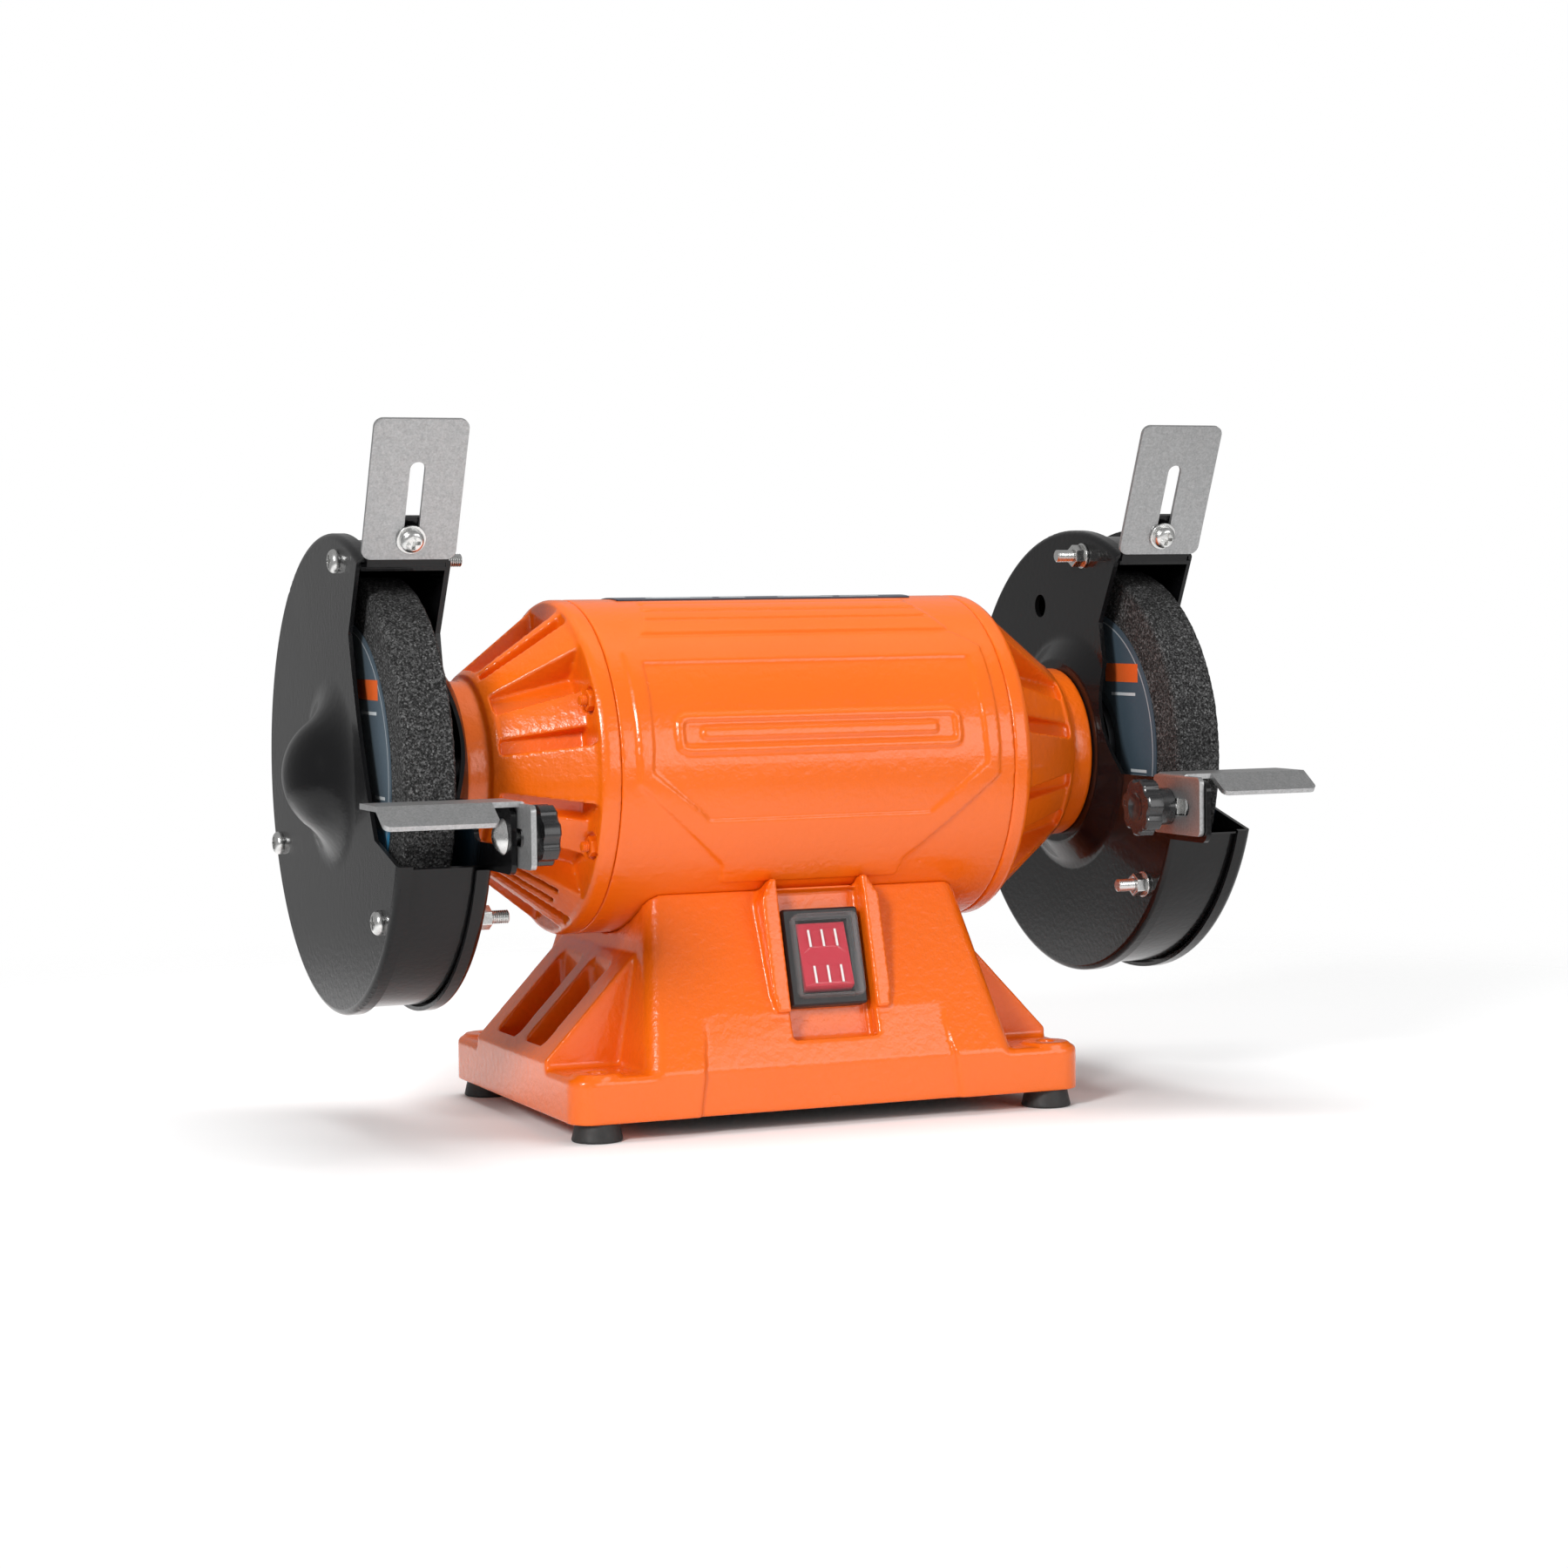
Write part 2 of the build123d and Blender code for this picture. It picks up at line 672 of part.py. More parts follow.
# ---- wheels, flanges and nuts ---------------------------------------------------------------
def make_wheel(side):
    wheel = lathe([(WHEEL_IN, ARBOR_R + 0.1), (WHEEL_IN, WHEEL_R - 0.7), (WHEEL_IN + 0.7, WHEEL_R),
                   (WHEEL_OUT - 0.7, WHEEL_R), (WHEEL_OUT, WHEEL_R - 0.7),
                   (WHEEL_OUT, ARBOR_R + 0.1)])
    return on_side(wheel, side)


def make_blotters(side):
    inner = ring_x(LABEL_R, ARBOR_R + 0.2, WHEEL_IN - LABEL_T, WHEEL_IN)
    outer = ring_x(LABEL_R, ARBOR_R + 0.2, WHEEL_OUT, WHEEL_OUT + LABEL_T)
    return [on_side(inner, side), on_side(outer, side)]


def make_wheel_flanges(side):
    """Dished clamping flanges that touch the blotters only near their rims."""
    face_in = WHEEL_IN - LABEL_T
    face_out = WHEEL_OUT + LABEL_T
    bore = ARBOR_R + 0.02
    inner = lathe([(143.0, bore), (143.0, 13), (face_in - 3.0, 25), (face_in, 25), (face_in, 18),
                   (face_in - 1.0, 17), (face_in - 1.0, bore)])
    outer = lathe([(face_out + 1.0, bore), (face_out + 1.0, 17), (face_out, 18), (face_out, 25),
                   (face_out + 2.2, 25), (face_out + 4.0, 13), (face_out + 4.0, bore)])
    return [on_side(inner, side), on_side(outer, side)]


def make_shaft_nut(side):
    x0 = WHEEL_OUT + LABEL_T + 4.0
    nut = Pos(x0 + 4.5, 0, SHAFT_Z) * Rot(0, 90, 0) * hexagon(19, 9)
    cone = lathe([(x0, 0), (x0, 12), (x0 + 7.6, 12), (x0 + 9, 9.4), (x0 + 9, 0)])
    return on_side((nut & cone) - cyl_x(ARBOR_R + 0.02, x0 - 1, x0 + 12), side)


# ---- guards --------------------------------------------------------------------------------
def mouth_face(top, middle, low, far):
    """Side view of a guard mouth: everything in front of its edge, as (y, z) corners."""
    top_end = (far[0], far[1])
    arc = ThreePointArc(low, middle, top)
    lines = Polyline(top, top_end, (-150, top_end[1]), (-150, far[2]), low)
    return make_face(arc.edges() + lines.edges())


def spark_tab(gap):
    """Tab of the band that stands behind the spark deflector, grown by gap."""
    tab = Box(30 + 2 * gap, 22 + 2 * gap, 2.0 + 2 * gap)
    return SPARK_PLANE * (Pos(0, 5.0, -2.9) * tab)


def spark_way():
    """Space that the spark deflector and its screws sweep in front of the tab."""
    return SPARK_PLANE * (Pos(0, 10, 3.0) * Box(37.2, 70, 9.9))


def drawn_boss():
    """Flared boss that is drawn out of the inner plate and meets the end bell."""
    tilt = atan2(GUARD_IN - BOSS_X, 47.5 - 38.0)
    shift = PLATE_T * tan(tilt / 2)
    boss = lathe([(BOSS_X, 19), (BOSS_X, 38.0), (GUARD_IN, 47.5), (GUARD_IN, 52), (GUARD_IN + PLATE_T, 52),
                  (GUARD_IN + PLATE_T, 47.5 + shift), (BOSS_X + PLATE_T, 38.0 + shift), (BOSS_X + PLATE_T, 19)])
    for x, r, size in ((GUARD_IN, 47.5, 7.0), (BOSS_X, 38.0, 2.6)):
        ring = [e for e in boss.edges().filter_by(GeomType.CIRCLE)
                if abs(e.radius - r) < 0.01 and abs(e.center().X - x) < 0.01]
        boss = fillet(ring, size)
    return boss


def make_guard_inner(side):
    """Inner guard plate: flat disc with a rolled rim, a drawn boss and an ear for the rest."""
    dish = cyl_x(GUARD_R, GUARD_IN, GUARD_IN + RIM_W)
    dish = fillet(dish.edges().sort_by(Axis.X)[0], 2.4)
    dish -= cyl_x(GUARD_R - COVER_T, GUARD_IN + PLATE_T, GUARD_IN + RIM_W + 1)
    plate = dish & cyl_x(GUARD_R + 1, GUARD_IN, GUARD_IN + PLATE_T)
    rim = dish & cyl_x(GUARD_R + 1, GUARD_IN + PLATE_T, GUARD_IN + RIM_W)
    mouth = mouth_face((-27, 190), (-35.5, 157), (-46.5, EAR_TOP), (-47.5, 226, EAR_TOP))
    plate -= side_prism(mouth, GUARD_IN - 1, GUARD_IN + 20)
    # the rim stops at the two lips
    rim -= side_prism(mouth, GUARD_IN - 1, GUARD_IN + 20)
    rim -= box(GUARD_IN - 1, GUARD_IN + 20, -150, -60, EAR_LOW, EAR_TOP + 1)
    ear = box(GUARD_IN, GUARD_IN + PLATE_T, EAR_FRONT, -50, EAR_LOW, EAR_TOP)
    ear = fillet(ear.edges().filter_by(Axis.X).sort_by(Axis.Y)[:2], 4)
    guard = plate + rim + ear
    slot_face = Pos((-70 - 109.5) / 2, REST_BOLT_Z) * SlotOverall(39.5, 6.8)
    guard -= side_prism(slot_face, GUARD_IN - 1, GUARD_IN + 5)
    # drawn boss that meets the end bell
    boss_back = BOSS_X
    guard -= cyl_x(52.0, GUARD_IN - 1, GUARD_IN + 4)
    guard += drawn_boss() - side_prism(mouth, 120, 160)
    for deg in GUARD_MOUNT_DEG:
        y, z = around(GUARD_MOUNT_R, deg)
        guard -= cyl_x(2.8, 130, 142, y, z)
    for deg in GUARD_SCREW_DEG:
        y, z = around(GUARD_SCREW_R, deg)
        guard -= cyl_x(2.75, 130, 150, y, z)
    y, z = around(65, 112)
    guard -= cyl_x(4.8, 130, 150, y, z)
    guard -= spark_tab(0.2)
    guard -= spark_way()
    return on_side(guard, side)


def make_guard_band(side):
    """Peripheral band that follows the wheel, with the upright tab for the spark deflector."""
    x0 = GUARD_IN + PLATE_T
    x1 = COVER_OUT - COVER_T
    band = ring_sector(BAND_R, BAND_R - BAND_T, x0, x1, TOP_LIP_DEG, 360 - TOP_LIP_DEG + LOW_LIP_DEG)
    band += spark_tab(0) - cyl_x(BAND_R - 0.6, 120, 190)
    band -= SPARK_PLANE * (Pos(0, SPARK_SCREW_UP, -4) * Cylinder(2.6, 12))
    return on_side(band, side)


def dome_solid(inset):
    """Solid under the dome: a ball that flares into the flat of the cover, moved in by inset."""
    flare_x = COVER_OUT + DOME_FLARE
    flare = DOME_FLARE + inset
    ball = DOME_BALL - inset
    turn = atan2(DOME_FOOT_R, flare_x - DOME_CENTRE)
    foot = (flare_x - flare, DOME_FOOT_R)
    half = (flare_x - flare * cos(turn / 2), DOME_FOOT_R - flare * sin(turn / 2))
    join = (DOME_CENTRE + ball * cos(turn), ball * sin(turn))
    crown = (DOME_CENTRE + ball * cos(turn / 2), ball * sin(turn / 2))
    nose = (DOME_CENTRE + ball, 0)
    skirt = ThreePointArc(foot, half, join)
    cap = ThreePointArc(join, crown, nose)
    back = Polyline(nose, (foot[0] - 1.2, 0), (foot[0] - 1.2, foot[1]), foot)
    face = make_face(skirt.edges() + cap.edges() + back.edges())
    return Pos(0, 0, SHAFT_Z) * revolve(face, Axis.X, 360)


def make_guard_cover(side):
    """Outer cover: dished disc with a mouth, a rolled rim and a dome over the shaft nut."""
    disc = cyl_x(GUARD_R, COVER_OUT - RIM_W, COVER_OUT)
    disc = fillet(disc.edges().sort_by(Axis.X)[-1], 2.4)
    cover = disc + dome_solid(0)
    cover -= cyl_x(GUARD_R - COVER_T, COVER_OUT - RIM_W - 1, COVER_OUT - COVER_T)
    cover -= dome_solid(COVER_T)
    mouth = mouth_face((-28, 190), (-38.0, 157.6), (-57.8, 115.3), (-45.6, 226, 89.5))
    cover -= side_prism(mouth, COVER_OUT - 20, COVER_OUT + 10)
    for deg in GUARD_SCREW_DEG:
        y, z = around(GUARD_SCREW_R, deg)
        cover -= cyl_x(2.75, 160, 180, y, z)
    cover -= spark_tab(0.2)
    cover -= spark_way()
    return on_side(cover, side)


def phillips(depth, size):
    """Cross recess, pointing down from z = 0."""
    arm = Pos(0, 0, -depth / 2) * Box(size, size * 0.28, depth)
    return arm + Rot(0, 0, 90) * arm


def pan_head(r, height):
    """Pan head with a cross recess, sitting on z = 0."""
    head = Pos(0, 0, height / 2) * Cylinder(r, height)
    head = fillet(head.edges().sort_by(Axis.Z)[-1], height * 0.7)
    return head - Pos(0, 0, height) * phillips(height * 0.55, r * 1.15)


def make_guard_screws():
    screws = []
    for side in (-1, 1):
        for deg in GUARD_SCREW_DEG:
            y, z = around(GUARD_SCREW_R, deg)
            head = Pos(COVER_OUT, y, z) * Rot(0, 90, 0) * pan_head(4.6, 3.2)
            shank = cyl_x(2.5, GUARD_IN - 5.3, COVER_OUT + 0.3, y, z)
            tip = threaded_x(2.5, 0.8, GUARD_IN - 12.5, GUARD_IN - 5.3, y, z)
            screws.append(on_side(head + shank + tip, side))
    return screws


def make_guard_nuts():
    nuts = []
    for side in (-1, 1):
        for deg in GUARD_SCREW_DEG:
            y, z = around(GUARD_SCREW_R, deg)
            nut = Pos(GUARD_IN - 1.1 - 2.1, y, z) * Rot(0, 90, 0) * hexagon(8, 4.2)
            nuts.append(on_side(nut - cyl_x(2.52, 120, 150, y, z), side))
    return nuts


def make_guard_washers():
    washers = []
    for side in (-1, 1):
        for deg in GUARD_SCREW_DEG:
            y, z = around(GUARD_SCREW_R, deg)
            washer = cyl_x(5.2, GUARD_IN - 1.1, GUARD_IN, y, z)
            washers.append(on_side(washer - cyl_x(2.52, 130, 150, y, z), side))
    return washers


def make_guard_mount_screws():
    screws = []
    seat = BOSS_X + PLATE_T
    for side in (-1, 1):
        for deg in GUARD_MOUNT_DEG:
            y, z = around(GUARD_MOUNT_R, deg)
            head = Pos(seat, y, z) * Rot(0, 90, 0) * pan_head(4.4, 3.0)
            screws.append(on_side(head + cyl_x(2.5, 122.5, seat + 0.3, y, z), side))
    return screws


# ---- tool rests -----------------------------------------------------------------------------
def make_tool_rest(side):
    """Bent plate: a table with a drooping lip, and a slotted tab that bends down beside the ear."""
    bolt_y = REST_BOLT_Y[side]
    back = bolt_y + 8.0
    bend = back - REST_DEPTH
    tab_back = bolt_y + 11.0
    tab_front = bolt_y - 25.0
    x_tab = REST_TAB_IN
    table = box(x_tab, REST_END, bend, back, REST_TOP - REST_T, REST_TOP)
    tab = box(x_tab, x_tab + REST_T, tab_front, tab_back, 107.5, REST_TOP - 0.8)
    tab = fillet(tab.edges().filter_by(Axis.X), 2.5)
    tab &= box(x_tab - 1, x_tab + 5, -200, 0, 90, REST_TOP - REST_T + 1.2)
    rest = table + tab
    bend_edge = [e for e in rest.edges().filter_by(Axis.Y)
                 if abs(e.center().X - x_tab) < 0.01 and abs(e.center().Z - REST_TOP) < 0.01]
    rest = fillet(bend_edge, 1.6)
    lip = box(0, REST_END - REST_LIP_X, -REST_LIP, 0, -REST_T, 0)
    lip = fillet(lip.edges().filter_by(Axis.Z).sort_by(Axis.Y)[:2], 2.6)
    lip = Pos(REST_LIP_X, bend, REST_TOP) * Rot(REST_LIP_DEG, 0, 0) * lip
    rest = rest + lip + wedge_under_bend(bend)
    slot_face = Pos((bolt_y - 17.0 + bolt_y + 3.4) / 2, REST_BOLT_Z) * SlotOverall(20.4, 6.8)
    rest -= side_prism(slot_face, x_tab - 1, x_tab + REST_T + 1)
    return on_side(rest, side)


def wedge_under_bend(bend):
    """Fills the outside of the bend between the table and the lip."""
    turn = radians(REST_LIP_DEG)
    outline = [(bend, REST_TOP), (bend, REST_TOP - REST_T),
               (bend - REST_T * sin(turn), REST_TOP - REST_T * cos(turn))]
    low = outline[1]
    face = polygon([(bend + 0.3, REST_TOP), (bend, REST_TOP), outline[2], low, (bend + 0.3, low[1])])
    return side_prism(face, REST_LIP_X, REST_END)


def make_rest_bolt(side):
    """Cup head bolt whose square neck rides in the ear's slot."""
    y = REST_BOLT_Y[side]
    seat = GUARD_IN + PLATE_T + 0.1
    dome = Pos(seat, y, REST_BOLT_Z) * Rot(0, 90, 0) * (
        Pos(0, 0, -4.2) * Sphere(7.9) & Pos(0, 0, 5) * Box(20, 20, 10))
    neck = box(GUARD_IN + 0.2, seat + 0.2, y - 3.1, y + 3.1, REST_BOLT_Z - 3.1, REST_BOLT_Z + 3.1)
    shank = cyl_x(2.95, 126.5, seat, y, REST_BOLT_Z)
    shank = chamfer(shank.edges().sort_by(Axis.X)[0], 0.6)
    return on_side(dome + neck + shank, side)


def make_rest_knob(side):
    """Seven-lobed clamping knob with a hub."""
    y = REST_BOLT_Y[side]
    hub_end = REST_TAB_IN - 0.3
    hub = cyl_x(KNOB_HUB_R, 129.8, hub_end, y, REST_BOLT_Z)
    outline = Circle(KNOB_R)
    for i in range(7):
        deg = i * 360 / 7
        outline -= Pos((KNOB_R + 2.2) * cos(radians(deg)), (KNOB_R + 2.2) * sin(radians(deg))) * Circle(3.5)
    outline = fillet(outline.vertices(), 1.5)
    head = extrude(outline, 3.3, both=True)
    head = chamfer(head.faces().sort_by(Axis.Z)[-1].outer_wire().edges(), 0.8)
    head -= Pos(0, 0, 9.6) * Sphere(8.5)
    head = Pos(126.6, y, REST_BOLT_Z) * Rot(0, -90, 0) * head
    knob = hub + head
    knob -= cyl_x(3.0, 126.0, hub_end + 1, y, REST_BOLT_Z)
    return on_side(knob, side)


# ---- spark deflectors -----------------------------------------------------------------------
def make_spark_plate(side):
    outline = Pos(0, SPARK_H / 2) * RectangleRounded(SPARK_W, SPARK_H, 3.5)
    slot = Pos(0, 5.0 + 33.2 / 2) * Rot(0, 0, 90) * SlotOverall(33.2, 5.8)
    plate = extrude(outline - slot, -SPARK_T)
    return on_side(SPARK_PLANE * plate, side)


def make_spark_screws():
    screws = []
    for side in (-1, 1):
        head = Pos(0, SPARK_SCREW_UP, 1.25) * pan_head(4.5, 3.2)
        shank = Pos(0, SPARK_SCREW_UP, -3.2) * Cylinder(2.45, 9.4)
        tip = Pos(0, SPARK_SCREW_UP, 0) * Rot(0, -90, 0) * threaded_x(2.45, 0.8, -11.0, -7.8, 0, 0)
        screws.append(on_side(SPARK_PLANE * (head + shank + tip), side))
    return screws


def make_spark_washers():
    washers = []
    for side in (-1, 1):
        washer = Pos(0, SPARK_SCREW_UP, 0.7) * (Cylinder(5.6, 1.1) - Cylinder(2.5, 3))
        washers.append(on_side(SPARK_PLANE * washer, side))
    return washers


def make_spark_nuts():
    nuts = []
    for side in (-1, 1):
        nut = hexagon(8, 4) - Cylinder(2.5, 10)
        nuts.append(on_side(SPARK_PLANE * (Pos(0, SPARK_SCREW_UP, -5.9) * nut), side))
    return nuts


# ---- switch and electrics ---------------------------------------------------------------------
def make_switch_body():
    """Bezel that stands on the floor, with the switch block behind it."""
    bezel = Pos(0, 0, BEZEL_T / 2) * Box(SWITCH_W, SWITCH_H, BEZEL_T)
    bezel = fillet(bezel.edges().filter_by(Axis.Z), 1.2)
    bezel = chamfer(bezel.faces().sort_by(Axis.Z)[-1].edges(), 0.8)
    block = Pos(0, 0, -11) * Box(27, 32, 22)
    body = bezel + block
    body -= Pos(0, 0, -2) * Box(21.6, 28.6, 20)
    for x in (-6, 6):
        for y in (-9, 0, 9):
            body += Pos(x, y, -25.5) * Box(0.8, 6.3, 9)
    return SWITCH_PLANE * body


def make_switch_rocker():
    """Rocker with raised grip bars and the on and off marks; it turns about its middle."""
    wedge = Plane.YZ * polygon([(-13.6, -4.2), (13.6, -4.2), (13.6, 3.2), (0, 5.2), (-13.6, 6.8)])
    rocker = extrude(wedge, 10.2, both=True)
    rocker = Pos(0, 0, 0) * rocker
    for row, lift, tilt in ((7.2, 4.55, -8.4), (-7.2, 6.35, -6.7)):
        for x in (-5.6, 0, 5.6):
            bar = extrude(Rot(0, 0, 90) * SlotOverall(7.4, 1.3), 0.9)
            rocker += Pos(x, row, lift - 0.6) * Rot(tilt, 0, 0) * bar
    pivot = Pos(0, 0, -1.2) * Rot(0, 90, 0) * Cylinder(1.4, 21.2)
    rocker += pivot
    rocker = rocker & (Pos(0, 0, -1.2) * Rot(0, 90, 0) * Cylinder(14.0, 40))
    return SWITCH_PLANE * (Pos(0, 0, 1.0) * rocker)


def make_switch_cover():
    """Clear splash cover over the rocker."""
    outer = Pos(0, 0, BEZEL_T + 3.2) * Box(26.5, 32.5, 6.4)
    outer = fillet(outer.edges().filter_by(Axis.Z), 2.5)
    outer = fillet(outer.faces().sort_by(Axis.Z)[-1].edges(), 1.6)
    inner = Pos(0, 0, BEZEL_T + 2.4) * Box(24.5, 30.5, 6.4)
    return SWITCH_PLANE * (outer - inner)


def make_capacitor():
    can = cyl_x(15, -15, 45, 36, 27)
    can = fillet(can.edges(), 1.5)
    for y in (31, 41):
        can += box(-21, -14, y - 0.4, y + 0.4, 24, 30)
    return can


def make_capacitor_clamp():
    """Strap round the capacitor, with two feet on the bottom plate."""
    strap = Pos(15, 36, 27) * Rot(0, 90, 0) * (Cylinder(16.2, 12) - Cylinder(15.05, 20))
    strap += box(9, 21, 18, 20, FOOT_H + 1.5, 27) + box(9, 21, 52, 54, FOOT_H + 1.5, 27)
    strap += box(9, 21, 12, 20, FOOT_H + 1.5, FOOT_H + 3) + box(9, 21, 52, 57, FOOT_H + 1.5, FOOT_H + 3)
    return strap - cyl_x(15.05, 0, 30, 36, 27)


def make_terminal_block():
    block = box(-42, -6, -6, 6, FOOT_H + 1.5, FOOT_H + 14)
    for i in range(3):
        x = -36 + i * 12
        block -= cyl_z(2.4, x, 0, FOOT_H + 8, FOOT_H + 20)
        block -= Pos(x, 0, FOOT_H + 6) * Rot(90, 0, 0) * Cylinder(1.8, 20)
    return block


def make_cord_gland():
    """Hollow strain relief in the cord inlet; the bore takes a 7 mm cord."""
    gland = Pos(GLAND_X, 71.5, GLAND_Z) * Rot(90, 0, 0) * Cylinder(9, 6)
    gland += Pos(GLAND_X, 62, GLAND_Z) * Rot(90, 0, 0) * Cylinder(6.0, 20)
    gland += Pos(GLAND_X, 58.0, GLAND_Z) * Rot(90, 0, 0) * Cylinder(5.5, 12)
    gland -= Pos(GLAND_X, 64, GLAND_Z) * Rot(90, 0, 0) * Cylinder(3.6, 40)
    return gland


# ---- write the nodes ----------------------------------------------------------------------------
def main():
    save("base", make_base())
    save("bottom_plate", make_bottom_plate())
    save("bottom_plate_screws", *make_bottom_plate_screws())
    save("rubber_feet", *make_feet())
    save("base_screws", *make_base_screws())
    save("motor_housing", make_housing())
    save("data_plate", make_data_plate())
    save("tie_bolts", *make_tie_bolts())
    save("tie_nuts", *make_tie_nuts())
    save("stator_core", make_stator_core())
    save("stator_windings", make_windings())
    save("rotor_core", make_rotor_core())
    save("rotor_cage", *make_rotor_cage())
    save("shaft", make_shaft())
    save("bearing_outer_races", *make_races(True))
    save("bearing_inner_races", *make_races(False))
    save("bearing_balls", *make_balls())
    save("wave_washer", make_wave_washer())
    save("guard_screws", *make_guard_screws())
    save("guard_nuts", *make_guard_nuts())
    save("guard_washers", *make_guard_washers())
    save("guard_mount_screws", *make_guard_mount_screws())
    save("spark_screws", *make_spark_screws())
    save("spark_washers", *make_spark_washers())
    save("spark_nuts", *make_spark_nuts())
    save("switch_body", make_switch_body())
    save("switch_rocker", make_switch_rocker())
    save("switch_cover", make_switch_cover())
    save("capacitor", make_capacitor())
    save("capacitor_clamp", make_capacitor_clamp())
    save("terminal_block", make_terminal_block())
    save("cord_gland", make_cord_gland())
    for side, word in ((-1, "left"), (1, "right")):
        save(f"end_bell_{word}", make_end_bell(side))
        save(f"grinding_wheel_{word}", make_wheel(side))
        save(f"wheel_labels_{word}", *make_blotters(side))
        save(f"wheel_flanges_{word}", *make_wheel_flanges(side))
        save(f"shaft_nut_{word}", make_shaft_nut(side))
        save(f"guard_inner_{word}", make_guard_inner(side))
        save(f"guard_band_{word}", make_guard_band(side))
        save(f"guard_cover_{word}", make_guard_cover(side))
        save(f"tool_rest_{word}", make_tool_rest(side))
        save(f"rest_bolt_{word}", make_rest_bolt(side))
        save(f"rest_knob_{word}", make_rest_knob(side))
        save(f"spark_plate_{word}", make_spark_plate(side))


main()
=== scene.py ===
import json
import math

import bmesh
import bpy
from mathutils import Matrix, Vector, noise


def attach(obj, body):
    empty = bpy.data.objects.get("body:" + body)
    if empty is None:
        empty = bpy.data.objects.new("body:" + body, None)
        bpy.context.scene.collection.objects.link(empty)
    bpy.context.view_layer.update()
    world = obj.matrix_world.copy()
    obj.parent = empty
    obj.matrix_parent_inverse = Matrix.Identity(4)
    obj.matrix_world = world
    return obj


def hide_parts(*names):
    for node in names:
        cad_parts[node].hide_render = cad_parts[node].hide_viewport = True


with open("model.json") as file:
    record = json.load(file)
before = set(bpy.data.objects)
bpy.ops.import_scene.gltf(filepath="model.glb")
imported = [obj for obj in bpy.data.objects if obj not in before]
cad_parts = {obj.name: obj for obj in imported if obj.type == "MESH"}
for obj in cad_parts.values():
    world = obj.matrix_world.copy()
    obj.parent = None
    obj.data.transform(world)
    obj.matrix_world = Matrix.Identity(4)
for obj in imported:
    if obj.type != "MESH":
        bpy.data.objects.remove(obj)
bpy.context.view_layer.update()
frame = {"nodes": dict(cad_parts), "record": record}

SHAFT_Z = 0.1367
WHEEL_R = 0.075
WHEEL_IN = 0.1495
WHEEL_OUT = 0.1691
LABEL_T = 0.00035
LABEL_R = 0.058
SIDES = (("left", -1), ("right", 1))


# ---- node helpers -----------------------------------------------------------------------
class Shader:
    """Small builder round one Principled material."""

    def __init__(self, name):
        self.mat = bpy.data.materials.new(name)
        self.mat.use_nodes = True
        self.tree = self.mat.node_tree
        self.tree.nodes.clear()
        output = self.node("ShaderNodeOutputMaterial")
        self.bsdf = self.node("ShaderNodeBsdfPrincipled")
        self.join(self.bsdf.outputs[0], output, 0)
        self.coords = self.node("ShaderNodeTexCoord").outputs["Object"]

    def node(self, kind, **settings):
        made = self.tree.nodes.new(kind)
        for key, value in settings.items():
            setattr(made, key, value)
        return made

    def join(self, socket, target, into):
        self.tree.links.new(socket, target.inputs[into])

    def set(self, **values):
        names = {"rough": "Roughness", "metal": "Metallic", "coat": "Coat Weight", "coat_rough": "Coat Roughness",
                 "spec": "Specular IOR Level", "sheen": "Sheen Weight"}
        for key, value in values.items():
            self.bsdf.inputs[names[key]].default_value = value

    def noise(self, scale, detail=2.0, rough=0.5, stretch=None):
        made = self.node("ShaderNodeTexNoise")
        made.inputs["Scale"].default_value = scale
        made.inputs["Detail"].default_value = detail
        made.inputs["Roughness"].default_value = rough
        source = self.coords
        if stretch:
            mapping = self.node("ShaderNodeMapping")
            mapping.inputs["Scale"].default_value = stretch
            self.join(self.coords, mapping, 0)
            source = mapping.outputs[0]
        self.join(source, made, "Vector")
        return made.outputs["Fac"]

    def cells(self, scale, output):
        made = self.node("ShaderNodeTexVoronoi")
        made.inputs["Scale"].default_value = scale
        self.join(self.coords, made, "Vector")
        return made.outputs[output]

    def ramp(self, socket, stops, smooth=False):
        made = self.node("ShaderNodeValToRGB")
        elements = made.color_ramp.elements
        if smooth:
            made.color_ramp.interpolation = "EASE"
        while len(elements) < len(stops):
            elements.new(0.5)
        for element, (at, value) in zip(elements, stops):
            element.position = at
            color = value if isinstance(value, tuple) else (value, value, value)
            element.color = (*color, 1.0)
        self.join(socket, made, 0)
        return made.outputs[0]

    def span(self, socket, low, high):
        made = self.node("ShaderNodeMapRange")
        made.inputs["To Min"].default_value = low
        made.inputs["To Max"].default_value = high
        self.join(socket, made, 0)
        return made.outputs[0]

    def math(self, operation, a, b=None):
        made = self.node("ShaderNodeMath", operation=operation)
        for index, value in enumerate((a, b)):
            if isinstance(value, (int, float)):
                made.inputs[index].default_value = value
            elif value is not None:
                self.join(value, made, index)
        return made.outputs[0]

    def mix(self, factor, a, b, blend="MIX"):
        made = self.node("ShaderNodeMix", data_type="RGBA", blend_type=blend)
        for index, value in ((0, factor), (6, a), (7, b)):
            if isinstance(value, (int, float)):
                made.inputs[index].default_value = value
            elif isinstance(value, tuple):
                made.inputs[index].default_value = (*value, 1.0)
            else:
                self.join(value, made, index)
        return made.outputs[2]

    def bump(self, *layers):
        """Chains (height socket, strength, distance) layers into the normal."""
        normal = None
        for height, strength, distance in layers:
            made = self.node("ShaderNodeBump")
            made.inputs["Strength"].default_value = strength
            made.inputs["Distance"].default_value = distance
            self.join(height, made, "Height")
            if normal is not None:
                self.join(normal, made, "Normal")
            normal = made.outputs[0]
        self.join(normal, self.bsdf, "Normal")

    def color(self, socket):
        self.join(socket, self.bsdf, "Base Color")

    def rough(self, socket):
        self.join(socket, self.bsdf, "Roughness")


